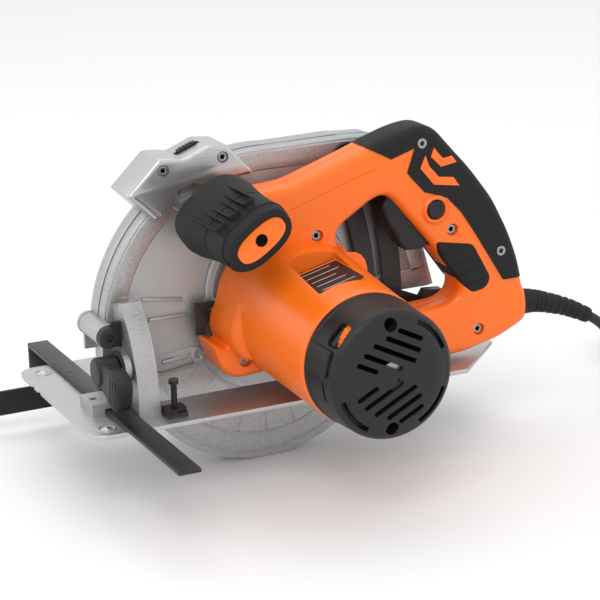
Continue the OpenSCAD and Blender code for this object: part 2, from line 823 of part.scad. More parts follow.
module motor_end_cap() {
    fillet = 6;
    color(black) {
        difference() {
            rotate_y_profile(concat(
                [[0, seam_y], [motor_r, seam_y], [motor_r, seam_y - 3]],
                [[motor_r - 1.6, cap_y + fillet]],
                [for (a = [0:15:90])
                    [motor_r - 1.6 - fillet + fillet * cos(a), cap_y + fillet - fillet * sin(a)]],
                [[0, cap_y]]));
            // hollow, with a seat for the bearing
            rod_y(motor_r - shell - 1, cap_y + 13, seam_y + 1, motor_x, motor_z);
            rod_y(9.03, cap_bearing_y, seam_y + 1, motor_x, motor_z);
            // vents in two fans, and the screw recesses
            for (s = [-1, 1], i = [0:3])
                translate([motor_x + 3 * s, cap_y - 1, motor_z + s * (13 + 5.6 * i)])
                    rotate([0, s * 30, 0]) translate([-15 + 2.4 * i, 0, -1.2]) cube([30 - 4.8 * i, 16, 2.6]);
            for (z = [-1, 1]) rod_y(4.6, cap_y - 1, cap_y + 9, motor_x - 2, motor_z + z * 34);
            for (z = [-1, 1]) rod_y(1.7, cap_y, seam_y + 1, motor_x - 2, motor_z + z * 34);
            // recess that the speed dial shows in
            translate([dial_x - 10, cap_y - 1, dial_z]) rotate([0, 45, 0]) cube([7, 22, 30], center = true);
            rod_y(dial_r + 0.5, dial_y - 0.4, dial_y + 4.4, dial_x, dial_z);
        }
        // journal of the speed dial
        rod_y(3, cap_y + 12.9, dial_y + 4.4, dial_x, dial_z);
    }
}

// Solid of revolution about the motor's axis, from points of radius and Y
module rotate_y_profile(points) {
    translate([motor_x, 0, motor_z]) rotate([-90, 0, 0]) rotate_extrude($fn = 96) polygon(points);
}

module end_cap_screws() {
    color(steel) for (z = [-1, 1]) screw_y(motor_x - 2, motor_z + z * 34, cap_y + 6.6, 3.8, 1.65, 30);
}

module speed_dial() {
    color(orange) difference() {
        rod_y(dial_r, dial_y, dial_y + 4, dial_x, dial_z);
        rod_y(3 + run, dial_y - 1, dial_y + 5, dial_x, dial_z);
        for (a = [0:15:345]) translate([dial_x, dial_y + 2, dial_z]) rotate([0, a, 0])
            translate([dial_r + 0.4, 0, 0]) cube([2, 5, 1.4], center = true);
    }
}

// ---------- main handle ----------

function handle_points() = concat(
    [[-12, 88], [-12, 104], [-22, 110], [-26, 118], [-26, 134]], arc(-18, 134, 8, 180, 100, 4),
    [[4, 144], [45, 157], [68, 165]], arc(98, 150, 22, 125, 40, 6), [[121, 156], [137, 138]],
    [[154, 115], [166, 91], [173, 72], [178, 50], [181, 44]], arc(176, 29, 6, 20, -60, 3),
    [[158, 14], [130, 8], [60, 6.5], [56, 40], [50, 88]]);

function window_points() = concat(
    [[36, 104], [38, 111], [62, 126]], arc(72, 121, 7, 120, 45, 3),
    [[104, 93], [129, 59], [128, 53]], arc(118, 53, 8, 0, -90, 4), [[97, 44], [66, 42], [61, 60], [50, 80], [38, 94]]);

function overmould_points() = [[62, 160], [62, 190], [150, 190], [200, 100], [200, 58], [163, 57],
    [152, 72], [140, 92], [129, 109], [118, 121], [109, 124.5], [101, 127], [92, 137], [88, 142],
    [92, 153], [94, 158.5], [76, 152]];

function pad_points() = [[104, 93], [136, 86], [151, 58], [146, 52], [134, 50], [118, 60], [100, 90]];

module handle_shell(from, to, wall) {
    difference() {
        plate_y(from, to) difference() {
            polygon(handle_points());
            polygon(window_points());
            polygon(overmould_points());
            polygon(pad_points());
        }
        housing_form(-gap);
        hull_ear_room();
        // hollow inside, left open at the parting line
        translate([0, wall, 0]) plate_y(from, to) handle_hollow();
        trigger_room();
        rod_y(button_r + 0.4, -60, mid_y, button_x, button_z);
        rod_x(10.08, 174.9, 190, mid_y, 34);
    }
}

// The ear of the motor housing passes under the neck
module hull_ear_room() {
    rod_y(13, -51, flange_y + 1, -31, 29);
}

module handle_hollow() {
    polygon([[6, 100], [28, 100], [30, 116], [60, 132], [78, 134], [84, 144], [72, 150], [8, 132]]);
    polygon([[72, 12], [132, 13], [158, 19], [158, 36], [140, 38], [112, 38], [72, 34]]);
    polygon([[100, 110], [112, 96], [122, 98], [116, 112], [106, 118]]);
}

module trigger_room() {
    plate_y(mid_y - 8.4, mid_y + 8.4) polygon([[64, 117], [72, 136], [86, 139], [100, 133], [122, 97], [104, 84], [86, 84]]);
}

module handle_near_shell() {
    color(orange) difference() {
        handle_shell(-handle_near, mid_y, 3);
        for (p = handle_screw_at) {
            rod_y(4.2, -handle_near - 1, -handle_near + 5, p[0], p[1]);
            rod_y(1.7, -handle_near, mid_y + 1, p[0], p[1]);
        }
    }
}

handle_screw_at = [[21, 108], [122, 98], [142, 24]];
overmould_screw_at = [[99, 161], [159, 78]];

module handle_far_shell() {
    color(orange) difference() {
        handle_shell(mid_y, far_y, -3);
        for (p = handle_screw_at) rod_y(1.7, mid_y - 1, far_y - 3, p[0], p[1]);
    }
}

module handle_overmould() {
    color(black) difference() {
        plate_y(-handle_near - 0.8, far_y + 0.8) intersection() {
            difference() {
                polygon(handle_points());
                polygon(window_points());
            }
            polygon(overmould_points());
        }
        trigger_room();
        for (p = overmould_screw_at) {
            rod_y(4.2, -handle_near - 2, -handle_near + 3, p[0], p[1]);
            rod_y(1.7, -handle_near, far_y - 4, p[0], p[1]);
        }
        rod_y(button_r + 8, -handle_near - 2, -handle_near + 0.1, button_x, button_z);
    }
}

module grip_pad() {
    color(black) difference() {
        plate_y(-handle_near - 0.6, far_y + 0.6) intersection() {
            difference() {
                polygon(handle_points());
                polygon(window_points());
            }
            polygon(pad_points());
        }
        trigger_room();
    }
}

module handle_screws() {
    color(steel) {
        for (p = handle_screw_at) screw_y(p[0], p[1], -handle_near + 2.6, 3.6, 1.6, 20);
        for (p = overmould_screw_at) screw_y(p[0], p[1], -handle_near + 0.6, 3.8, 1.6, 18);
    }
}

module trigger() {
    pin = trigger_pin_d / 2;
    color(black) difference() {
        plate_y(mid_y - 8, mid_y + 8) polygon(concat(
            arc(trigger_x + 6, trigger_z + 3, 8, 60, 190, 8),
            [[70, 118], [74, 110], [80, 99], [84, 91], [90, 86], [104, 86], [108, 90], [96, 106]]));
        rod_y(pin + run, -80, 0, trigger_x + 6, trigger_z + 3);
    }
    color(steel) rod_y(pin, mid_y - 8.3, mid_y + 8.3, trigger_x + 6, trigger_z + 3);
}

module switch_body() {
    color([0.2, 0.2, 0.22]) plate_y(mid_y - 8, mid_y + 8) polygon([[101.4, 114.6], [112.4, 96.8], [119, 99.5], [107.6, 119]]);
}

module lock_off_button() {
    color(black) {
        rod_y(button_r, -handle_near - 1.6, -handle_near + 2, button_x, button_z);
        rod_y(button_r - 2, -handle_near + 2, mid_y - 11, button_x, button_z);
    }
}

// ---------- front grip ----------

module grip_shape(r, half, from, to) {
    translate([grip_x, 0, grip_z]) rotate([0, -grip_tilt, 0]) hull() for (s = [-1, 1])
        rod_y(r, from, to, s * half, 0, $fn = 32);
}

module front_grip() {
    end = grip_y - grip_len;
    color(black) difference() {
        union() {
            translate([grip_x, 0, grip_z]) rotate([0, -grip_tilt, 0]) hull() for (s = [-1, 1]) {
                rod_y(17, end + 8, end + 9, s * 9, 0, $fn = 32);
                rod_y(13, end, end + 1, s * 9, 0, $fn = 32);
                rod_y(19, grip_y - 16, grip_y - 3, s * 9, 0, $fn = 32);
                rod_y(15, grip_y - 1, grip_y, s * 9, 0, $fn = 32);
            }
        }
        grip_shape(9, 9, end - 1, end + 4);
        rod_y(3.2, end - 1, grip_y + 1, grip_x, grip_z);
        // the neck of the main handle reaches in from behind
        translate([-26 - gap, -60, 80]) cube([60, 80, 90]);
    }
}

module front_grip_insert() {
    end = grip_y - grip_len;
    color(orange) difference() {
        grip_shape(9, 9, end - 0.2, end + 4);
        rod_y(3.2, end - 1, end + 6, grip_x, grip_z);
    }
}

module front_grip_screw() {
    end = grip_y - grip_len;
    color(steel) {
        rod_y(3.1, end + 14, end + 17, grip_x, grip_z);
        rod_y(2.4, end + 17, -17, grip_x, grip_z);
    }
}

// ---------- line guide ----------

function laser_points() = [[-98, 143], [-75, 165], [-58, 163], [-40, 170], [-26, 168], [-7, 148],
    [-41, 143], [-50, 146], [-63, 142], [-61, 135], [-79, 124]];

module laser_housing() {
    color(cast) difference() {
        plate_y(-22, guard_far + 1) polygon(laser_points());
        plate_y(-guard_near - gap, guard_far + 5) intersection() {
            guard_outline(0.4 + gap);
            translate([-200, 0]) square([400, 300]);
        }
        for (p = laser_screw_at) rod_y(3.8, -23, -19.1, p[0], p[1]);
        for (p = laser_screw_at) rod_y(1.6, -23, -guard_near, p[0], p[1]);
        switch_slot(0.3);
        lens_seat(0);
    }
}

laser_screw_at = [[-72, 157], [-30, 161]];

module laser_screws() {
    color(steel) for (p = laser_screw_at) screw_y(p[0], p[1], -21.6, 3.5, 1.5, 8);
}

module lens_seat(play) {
    translate([-86, -18, 129.5]) rotate([0, 42, 0]) cube([7 - play, 4, 7 - play], center = true);
}

module laser_lens() {
    color([0.8, 0.85, 0.88]) intersection() {
        lens_seat(0.1);
        plate_y(-22, guard_far + 1) polygon(laser_points());
    }
}

module switch_slot(play) {
    translate([-49, -6, 166.5]) rotate([0, -21, 0]) translate([-7 - play - 2, -2.5 - play, -3])
        cube([14 + 2 * play + 4, 5 + 2 * play, 8]);
}

module laser_switch() {
    color(black) translate([-49, -6, 166.5]) rotate([0, -21, 0]) translate([-7, -2.5, -2.7])
        cube([14, 5, 4.4]);
}

// ---------- cord ----------

function unit(v) = v / norm(v);
function tangent(p, i) = unit(p[min(i + 1, len(p) - 1)] - p[max(i - 1, 0)]);
function ring(p, i, r, n) =
    let (t = tangent(p, i), s = unit(cross(t, [0, 0, 1])), u = cross(s, t))
    [for (k = [0:n - 1]) p[i] + r * (cos(k * 360 / n) * s + sin(k * 360 / n) * u)];

// Tube through a list of points, with a radius at each point
module tube(p, radii, n = 10) {
    last = len(p) - 1;
    polyhedron(
        points = [for (i = [0:last]) each ring(p, i, radii[i], n)],
        faces = concat(
            [[for (k = [n - 1:-1:0]) k]],
            [for (i = [0:last - 1], k = [0:n - 1])
                [i * n + k, i * n + (k + 1) % n, (i + 1) * n + (k + 1) % n, (i + 1) * n + k]],
            [[for (k = [0:n - 1]) last * n + k]]));
}

// Catmull-Rom points between the chosen ones
function between(p, i, t) =
    let (a = p[max(i - 1, 0)], b = p[i], c = p[i + 1], d = p[min(i + 2, len(p) - 1)])
    0.5 * (2 * b + t * (c - a) + t * t * (2 * a - 5 * b + 4 * c - d) + t * t * t * (3 * b - a - 3 * c + d));
function smooth(p, n) = concat([for (i = [0:len(p) - 2], k = [0:n - 1]) between(p, i, k / n)], [p[len(p) - 1]]);

module cord_boot() {
    p = smooth(boot, 4);
    last = len(p) - 1;
    color(black) difference() {
        tube(p, [for (i = [0:last]) 8.6 - 2.6 * i / last], 20);
    }
    color(black) translate(boot[0] + [-6, 0, 0]) rotate([0, 90, 0]) cylinder(r = 10, h = 6.5);
}

module power_cord() {
    color(black) tube(route, [for (p = route) cord_d / 2], 10);
}

module cord_coil() {
    strands = ceil(coil_turns / coil_layers);
    half = strands * cord_d / 2;
    color(black) translate([coil_x, coil_y, floor_z]) rotate_extrude($fn = 64)
        translate([coil_r, 0]) polygon(concat(
            arc(-half + 3, 3, 3, 180, 270, 4), arc(half - 3, 3, 3, 270, 360, 4),
            arc(half - 3, coil_layers * cord_d - 3, 3, 0, 90, 4),
            arc(-half + 3, coil_layers * cord_d - 3, 3, 90, 180, 4)));
}

module plug() {
    top = floor_z + coil_layers * cord_d + 0.2;
    color(black) translate([coil_x + 38, coil_y - 20, top]) {
        rotate([0, 0, 90]) rotate([90, 0, 90]) linear_extrude(34) polygon(arc(0, 14, 14, 0, 360, 24));
        for (x = [-9.5, 9.5]) translate([x, 34, 14]) rotate([-90, 0, 0]) cylinder(r = 2.4, h = 19);
    }
}

// ---------- what is drawn ----------

base_plate();
plate_rivets();
bevel_quadrant();
bevel_stop_screw();
rear_bevel_bracket();
tilt_bracket();
depth_arc();
bevel_pins();
depth_pivot_bolt();
bevel_knob();
parallel_guide();
upper_guard();
guard_cover();
guard_screws();
dust_plug();
lower_guard();
saw_blade();
spindle();
inner_flange();
outer_flange();
arbor_bolt();
drive_gear();
spindle_bearings();
armature_shaft();
armature_core();
commutator();
cooling_fan();
armature_bearings();
stator();
brush_holders();
motor_housing();
housing_screws();
motor_end_cap();
end_cap_screws();
speed_dial();
label_plate();
spindle_lock();
handle_near_shell();
handle_far_shell();
handle_overmould();
grip_pad();
handle_screws();
trigger();
lock_off_button();
switch_body();
front_grip();
front_grip_insert();
front_grip_screw();
laser_housing();
laser_screws();
laser_lens();
laser_switch();
depth_lever();
depth_bolt();
cord_boot();
power_cord();
cord_coil();
plug();
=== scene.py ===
"""Looks of the hand-held circular saw, built around its CAD frame.

Sizes in the tables are millimetres in the frame of the part: X from the front of the cut to the cord,
Y from the motor side to the blade side, Z up from the sole. Meshes are made in metres.
"""
import logging
import math
from dataclasses import dataclass, field
from enum import Enum
from typing import Any, Callable, Iterable, Optional, Sequence

import bmesh
import bpy
from mathutils import Matrix, Vector
from mathutils.geometry import tessellate_polygon


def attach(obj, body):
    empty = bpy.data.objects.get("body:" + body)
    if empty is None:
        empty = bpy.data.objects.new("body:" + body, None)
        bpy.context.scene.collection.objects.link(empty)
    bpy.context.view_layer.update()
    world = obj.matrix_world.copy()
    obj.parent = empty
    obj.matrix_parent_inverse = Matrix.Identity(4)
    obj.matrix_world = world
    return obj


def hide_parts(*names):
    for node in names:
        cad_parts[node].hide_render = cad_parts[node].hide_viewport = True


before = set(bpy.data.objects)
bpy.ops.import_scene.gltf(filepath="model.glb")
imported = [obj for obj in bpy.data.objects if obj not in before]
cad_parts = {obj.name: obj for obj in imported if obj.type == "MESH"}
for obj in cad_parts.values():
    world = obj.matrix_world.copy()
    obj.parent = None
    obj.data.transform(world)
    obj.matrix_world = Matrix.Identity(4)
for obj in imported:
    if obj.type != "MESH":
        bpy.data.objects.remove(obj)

LOG = logging.getLogger("saw")
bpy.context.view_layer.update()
MM = 0.001
Point = tuple[float, float]
Point3 = tuple[float, float, float]

# Cord first: the points that it follows, in metres, as the part's source has them
ROUTE: list[Point3] = [
    (0.238, -0.042, 0.015), (0.247, -0.041, 0.009), (0.257, -0.038, 0.0), (0.267, -0.034, -0.011),
    (0.276, -0.030, -0.023), (0.285, -0.026, -0.034), (0.294, -0.022, -0.043),
    (0.304, -0.0185, -0.0495), (0.316, -0.0150, -0.0532), (0.330, -0.0125, -0.0545),
    (0.348, -0.0115, -0.0545),
]
CORD_DIAMETER = 0.007
COIL_CENTRE: Point = (366.0, 34.0)
COIL_RADII = (45.5, 38.5, 31.5)
FLOOR_Z = -58.0

# Axes and stations, in millimetres
ARBOR_Z = 44.0
MOTOR: Point = (16.065, 46.833)
PIVOT: Point = (-118.5, 53.5)
BOLT: Point = (-38.971, 34.5)
NEAR, FAR, MID = -56.0, -28.0, -42.0
DIAL: Point = (2.0, 66.0)
BUTTON: Point = (109.0, 114.0)
EAR_SCREW: Point = (-31.0, 29.0)


class Finish(Enum):
    """What a piece's surface is made of."""

    CAST = "cast"
    SATIN = "satin"
    STEEL = "steel"
    BLACK_STEEL = "black_steel"
    ORANGE = "orange"
    RUBBER = "rubber"
    NYLON = "nylon"
    COPPER = "copper"
    LABEL = "label"
    MARK = "mark"
    # near-black stand-in for painted shade in recesses, holes and gaps
    PAINTED_SHADE = "painted_shade"
    CLEAR = "clear"
    CORD = "cord"


@dataclass(frozen=True)
class Look:
    """Numbers that a finish's material is built from."""

    colour: tuple[float, float, float]
    rough: float
    metal: float
    grain: float
    grain_size: float
    blotch: float = 0.0
    brushed: bool = False
    coat: float = 0.0
    speckle: float = 0.0
    spec: float = 0.5
    # share of painted highlight mixed into convex edges
    edge_highlight: float = 0.0


LOOKS: dict[Finish, Look] = {
    Finish.CAST: Look((0.43, 0.435, 0.44), 0.40, 0.80, 0.50, 1500.0, 0.06, speckle=0.20, edge_highlight=0.15),
    Finish.SATIN: Look((0.50, 0.505, 0.51), 0.34, 0.85, 0.15, 1400.0, 0.05, brushed=True, speckle=0.06, edge_highlight=0.15),
    Finish.STEEL: Look((0.34, 0.34, 0.35), 0.30, 1.0, 0.08, 1400.0, 0.05, brushed=True),
    Finish.BLACK_STEEL: Look((0.009, 0.009, 0.010), 0.40, 0.0, 0.25, 1100.0, 0.2, spec=0.32, edge_highlight=0.05),
    Finish.ORANGE: Look((0.86, 0.150, 0.005), 0.36, 0.0, 0.10, 2200.0, 0.05, coat=0.12, spec=0.4),
    Finish.RUBBER: Look((0.0085, 0.0085, 0.009), 0.62, 0.0, 0.55, 1500.0, 0.15, spec=0.26),
    Finish.NYLON: Look((0.0095, 0.0095, 0.010), 0.46, 0.0, 0.35, 1700.0, 0.12, spec=0.36),
    Finish.COPPER: Look((0.62, 0.30, 0.14), 0.35, 1.0, 0.15, 900.0, 0.2),
    Finish.LABEL: Look((0.012, 0.012, 0.013), 0.40, 0.0, 0.04, 800.0, 0.05, spec=0.3),
    Finish.MARK: Look((0.42, 0.42, 0.42), 0.55, 0.0, 0.05, 1200.0, 0.05),
    # near-black look of the painted shade
    Finish.PAINTED_SHADE: Look((0.003, 0.003, 0.003), 0.9, 0.0, 0.1, 900.0, 0.1, spec=0.05),
    Finish.CLEAR: Look((0.30, 0.33, 0.35), 0.10, 0.0, 0.02, 900.0, 0.02, coat=0.6),
    Finish.CORD: Look((0.009, 0.009, 0.0095), 0.44, 0.0, 0.25, 1300.0, 0.1, spec=0.35),
}

# Which finish each CAD piece that stays in view is given
CAD_FINISH: dict[Finish, str] = {
    Finish.SATIN: "plate_rivets",
    Finish.CAST: "bevel_quadrant tilt_bracket guard_cover lower_guard",
    Finish.STEEL: "bevel_pins saw_blade spindle inner_flange outer_flange arbor_bolt drive_gear"
    " spindle_bearings armature_shaft armature_bearings stator depth_bolt front_grip_screw guard_screws"
    " laser_screws handle_screws end_cap_screws housing_screws",
    Finish.BLACK_STEEL: "bevel_stop_screw rear_bevel_bracket depth_arc depth_pivot_bolt parallel_guide"
    " depth_lever spindle_lock",
    Finish.COPPER: "armature_core commutator brush_holders",
    Finish.NYLON: "dust_plug cooling_fan switch_body laser_switch trigger lock_off_button plug",
    Finish.ORANGE: "speed_dial",
    Finish.CLEAR: "laser_lens",
    Finish.LABEL: "label_plate",
}

_materials: dict[Finish, bpy.types.Material] = {}


# -------- materials

def shader_node(tree: bpy.types.NodeTree, kind: str, **values: Any) -> bpy.types.Node:
    """Adds a shader node.

    Args:
        tree: The material's nodes.
        kind: The node's type, without its prefix.
        values: Its sockets' values, with _ for each space in their names.
    Returns:
        The node.
    """
    made = tree.nodes.new("ShaderNode" + kind)
    for name, value in values.items():
        made.inputs[name.replace("_", " ")].default_value = value
    return made


def material(finish: Finish) -> bpy.types.Material:
    """Builds a finish's procedural material once.

    Args:
        finish: The finish wanted.
    Returns:
        Its material.
    """
    if finish in _materials:
        return _materials[finish]
    look = LOOKS[finish]
    mat = bpy.data.materials.new(finish.value)
    mat.use_nodes = True
    tree = mat.node_tree
    shader = tree.nodes["Principled BSDF"]
    shader.inputs["Base Color"].default_value = (*look.colour, 1.0)
    shader.inputs["Roughness"].default_value = look.rough
    shader.inputs["Metallic"].default_value = look.metal
    shader.inputs["Specular IOR Level"].default_value = look.spec
    shader.inputs["Coat Weight"].default_value = look.coat
    shader.inputs["Coat Roughness"].default_value = 0.25
    coords = shader_node(tree, "TexCoord")
    stretch = (0.06, 1.0, 1.0) if look.brushed else (1.0, 1.0, 1.0)
    mapping = shader_node(tree, "Mapping", Scale=stretch)
    tree.links.new(coords.outputs["Object"], mapping.inputs["Vector"])
    grain = shader_node(tree, "TexNoise", Scale=look.grain_size, Detail=4.0)
    tree.links.new(mapping.outputs["Vector"], grain.inputs["Vector"])
    blotch = shader_node(tree, "TexNoise", Scale=38.0, Detail=6.0)
    tree.links.new(coords.outputs["Object"], blotch.inputs["Vector"])
    # blotches move the roughness and the tint
    rough = shader_node(tree, "MapRange", To_Min=max(0.03, look.rough - 0.10), To_Max=min(1.0, look.rough + 0.12))
    tree.links.new(blotch.outputs["Fac"], rough.inputs["Value"])
    tree.links.new(rough.outputs["Result"], shader.inputs["Roughness"])
    tint = tree.nodes.new("ShaderNodeMix")
    tint.data_type = "RGBA"
    lighter = [min(1.0, c * (1.0 + look.blotch) + 0.01 * look.blotch) for c in look.colour]
    darker = [c * (1.0 - look.blotch) for c in look.colour]
    tint.inputs["A"].default_value = (*darker, 1.0)
    tint.inputs["B"].default_value = (*lighter, 1.0)
    tree.links.new(blotch.outputs["Fac"], tint.inputs["Factor"])
    colour = tint.outputs["Result"]
    if look.speckle:
        fine = shader_node(tree, "MapRange", From_Min=0.36, From_Max=0.66, To_Min=1.0 - look.speckle,
                           To_Max=1.0 + look.speckle)
        tree.links.new(grain.outputs["Fac"], fine.inputs["Value"])
        grainy = tree.nodes.new("ShaderNodeVectorMath")
        grainy.operation = "SCALE"
        tree.links.new(colour, grainy.inputs[0])
        tree.links.new(fine.outputs["Result"], grainy.inputs["Scale"])
        colour = grainy.outputs["Vector"]
    # painted highlight: convex edges, picked out by pointiness, are lightened towards pale grey
    if look.edge_highlight:
        edge = shader_node(tree, "NewGeometry")
        ramp = shader_node(tree, "MapRange", From_Min=0.56, From_Max=0.68, To_Max=look.edge_highlight)
        tree.links.new(edge.outputs["Pointiness"], ramp.inputs["Value"])
        highlighted = tree.nodes.new("ShaderNodeMix")
        highlighted.data_type = "RGBA"
        highlighted.inputs["B"].default_value = (0.75, 0.75, 0.76, 1.0)
        tree.links.new(ramp.outputs["Result"], highlighted.inputs["Factor"])
        tree.links.new(colour, highlighted.inputs["A"])
        colour = highlighted.outputs["Result"]
    tree.links.new(colour, shader.inputs["Base Color"])
    bump = shader_node(tree, "Bump", Strength=look.grain, Distance=0.0004)
    tree.links.new(grain.outputs["Fac"], bump.inputs["Height"])
    tree.links.new(bump.outputs["Normal"], shader.inputs["Normal"])
    _materials[finish] = mat
    return mat


# -------- outlines

def arc(cx: float, cy: float, r: float, a0: float, a1: float, n: int = 12) -> list[Point]:
    """Points of an arc.

    Args:
        cx, cy, r: Centre and radius.
        a0, a1: First and last angle in degrees.
        n: Number of steps.
    Returns:
        The points, ends included.
    """
    angles = [math.radians(a0 + (a1 - a0) * i / n) for i in range(n + 1)]
    return [(cx + r * math.cos(a), cy + r * math.sin(a)) for a in angles]


def area2(points: Sequence[Point]) -> float:
    """Twice the signed area of an outline.

    Args:
        points: The outline.
    Returns:
        The area, positive where the outline runs anticlockwise.
    """
    return sum(a[0] * b[1] - b[0] * a[1] for a, b in zip(points, [*points[1:], points[0]]))


def round_corners(points: Sequence[Point], cut: float, n: int = 5) -> list[Point]:
    """Rounds an outline's corners.

    Args:
        points: The outline.
        cut: How far from a corner its round begins, in mm.
        n: Steps in each round.
    Returns:
        The rounded outline.
    """
    out: list[Point] = []
    count = len(points)
    for i in range(count):
        a, b, c = Vector(points[i - 1]), Vector(points[i]), Vector(points[(i + 1) % count])
        first = b + (a - b) * min(0.46, cut / max((a - b).length, 1e-6))
        last = b + (c - b) * min(0.46, cut / max((c - b).length, 1e-6))
        for k in range(n + 1):
            t = k / n
            p = first.lerp(b, t).lerp(b.lerp(last, t), t)
            out.append((p.x, p.y))
    return out


def inset(points: Sequence[Point], d: float) -> list[Point]:
    """Moves an anticlockwise outline inwards.

    Args:
        points: The outline.
        d: Distance in mm, negative for outwards.
    Returns:
        The moved outline, with as many points.
    """
    out: list[Point] = []
    count = len(points)
    for i in range(count):
        a, b, c = points[i - 1], points[i], points[(i + 1) % count]
        e0, e1 = Vector((b[0] - a[0], b[1] - a[1])), Vector((c[0] - b[0], c[1] - b[1]))
        e0 = e0.normalized() if e0.length > 1e-9 else e1.normalized()
        e1 = e1.normalized() if e1.length > 1e-9 else e0
        n0, n1 = Vector((-e0.y, e0.x)), Vector((-e1.y, e1.x))
        m = (n0 + n1) / max(0.5, 1.0 + n0.dot(n1))
        out.append((b[0] + m.x * d, b[1] + m.y * d))
    return out


def toothed(r: float, depth: float, teeth: int, x: float = 0.0, z: float = 0.0) -> list[Point]:
    """Outline of a wheel with fine teeth.

    Args:
        r: Radius at the roots.
        depth: Depth of a tooth as a share of the radius.
        teeth: How many there are.
        x, z: The centre.
    Returns:
        The outline.
    """
    out: list[Point] = []
    for k in range(2 * teeth):
        a, rr = k * math.pi / teeth, r * (1 + depth * (k % 2))
        out.append((x + rr * math.cos(a), z + rr * math.sin(a)))
    return out


def cut_arc(x: float, z: float, r: float, floor: float) -> list[Point]:
    """A circle with its lower part cut off level.

    Args:
        x, z, r: Centre and radius.
        floor: The lowest level.
    Returns:
        The outline.
    """
    return [(px, max(pz, floor)) for px, pz in arc(x, z, r, 0, 357, 119)]


# -------- meshes

Verts = list[Point3]
Faces = list[tuple[int, ...]]


@dataclass
class Shape:
    """Vertices in mm and the faces between them."""

    verts: Verts = field(default_factory=list)
    faces: Faces = field(default_factory=list)

    def add(self, other: "Shape") -> "Shape":
        """Adds another shape's faces to this one.

        Args:
            other: The shape to add.
        Returns:
            This shape.
        """
        base = len(self.verts)
        self.verts += other.verts
        self.faces += [tuple(i + base for i in f) for f in other.faces]
        return self

    def moved(self, change: Matrix) -> "Shape":
        """Copies the shape to another place.

        Args:
            change: The move or turn, in mm.
        Returns:
            The copy.
        """
        return Shape([tuple(change @ Vector(v)) for v in self.verts], list(self.faces))


def loft(rings: Sequence[Sequence[Point3]], closed: bool = True) -> Shape:
    """Joins rings with as many points each.

    Args:
        rings: The rings in order.
        closed: Whether the two ends are capped.
    Returns:
        The shape.
    """
    n = len(rings[0])
    shape = Shape([tuple(p) for ring in rings for p in ring])
    for i in range(len(rings) - 1):
        for k in range(n):
            j = (k + 1) % n
            shape.faces.append((i * n + k, i * n + j, (i + 1) * n + j, (i + 1) * n + k))
    if closed:
        shape.faces.append(tuple(range(n - 1, -1, -1)))
        shape.faces.append(tuple((len(rings) - 1) * n + k for k in range(n)))
    return shape


class Plane(Enum):
    """The plane an outline is drawn in."""

    XZ = "xz"
    YZ = "yz"
    XY = "xy"


def place(p: Point, level: float, plane: Plane) -> Point3:
    """Turns a drawn point into a point in space.

    Args:
        p: The drawn point.
        level: Where it lies along the plane's normal.
        plane: The plane it is drawn in.
    Returns:
        The point in space.
    """
    if plane is Plane.XZ:
        return (p[0], level, p[1])
    if plane is Plane.YZ:
        return (level, p[0], p[1])
    return (p[0], p[1], level)


def slab(
    outer: Sequence[Point], low: float, high: float, r: float = 0.6, r2: Optional[float] = None,
    holes: Iterable[Sequence[Point]] = (), plane: Plane = Plane.XZ, steps: int = 3,
) -> Shape:
    """A plate with rounded edges.

    Args:
        outer: Its outline.
        low, high: Its two levels along the plane's normal.
        r, r2: Radius of the edges at low and at high.
        holes: Outlines cut through it.
        plane: The plane the outlines are drawn in.
        steps: Steps in each rounded edge.
    Returns:
        The shape.
    """
    r2 = r if r2 is None else r2
    loops = [list(outer) if area2(outer) > 0 else list(reversed(outer))]
    loops += [list(h) if area2(h) > 0 else list(reversed(h)) for h in holes]
    turns = [k * math.pi / 2 / steps for k in range(steps + 1)]
    levels = [(low + r * (1 - math.cos(a)), r * (1 - math.sin(a))) for a in turns]
    levels += [(high - r2 * (1 - math.cos(a)), r2 * (1 - math.sin(a))) for a in reversed(turns)]
    shape = Shape()
    caps: tuple[list[list[Point]], list[list[Point]]] = ([], [])
    starts: list[int] = []
    for index, loop in enumerate(loops):
        sign = 1.0 if index == 0 else -1.0
        rings = [[place(p, y, plane) for p in inset(loop, sign * d)] for y, d in levels]
        starts.append(len(shape.verts))
        shape.add(loft(rings, closed=False))
        caps[0].append(inset(loop, sign * levels[0][1]))
        caps[1].append(inset(loop, sign * levels[-1][1]))
    for end, cap in enumerate(caps):
        where = [
            starts[i] + (0 if end == 0 else (len(levels) - 1) * len(loop)) + k
            for i, loop in enumerate(cap) for k in range(len(loop))
        ]
        for tri in tessellate_polygon([[Vector((x, y, 0)) for x, y in loop] for loop in cap]):
            shape.faces.append(tuple(where[i] for i in tri))
    return shape


def lathe(profile: Sequence[Point], x: float, z: float, n: int = 72) -> Shape:
    """A solid of revolution about a line along Y.

    Args:
        profile: Radius and Y of its points, from one end to the other.
        x, z: Where the line is.
        n: Points round it.
    Returns:
        The shape.
    """
    rings = [
        [(x + max(r, 0.01) * c, y, z + max(r, 0.01) * s) for c, s in
         ((math.cos(2 * math.pi * k / n), math.sin(2 * math.pi * k / n)) for k in range(n))]
        for r, y in profile
    ]
    return loft(rings)


def rod(r: float, y0: float, y1: float, x: float, z: float, n: int = 32) -> Shape:
    """A plain cylinder along Y.

    Args:
        r: Its radius.
        y0, y1: Its two ends.
        x, z: Its axis.
        n: Points round it.
    Returns:
        The shape.
    """
    return lathe([(0, y0), (r, y0), (r, y1), (0, y1)], x, z, n)


def turned(at: Point3, angle: float, axis: str = "Y") -> Matrix:
    """A move to a point and a turn about an axis there.

    Args:
        at: The point in mm.
        angle: The turn in degrees.
        axis: The letter of the axis.
    Returns:
        The matrix.
    """
    return Matrix.Translation(at) @ Matrix.Rotation(math.radians(angle), 4, axis)


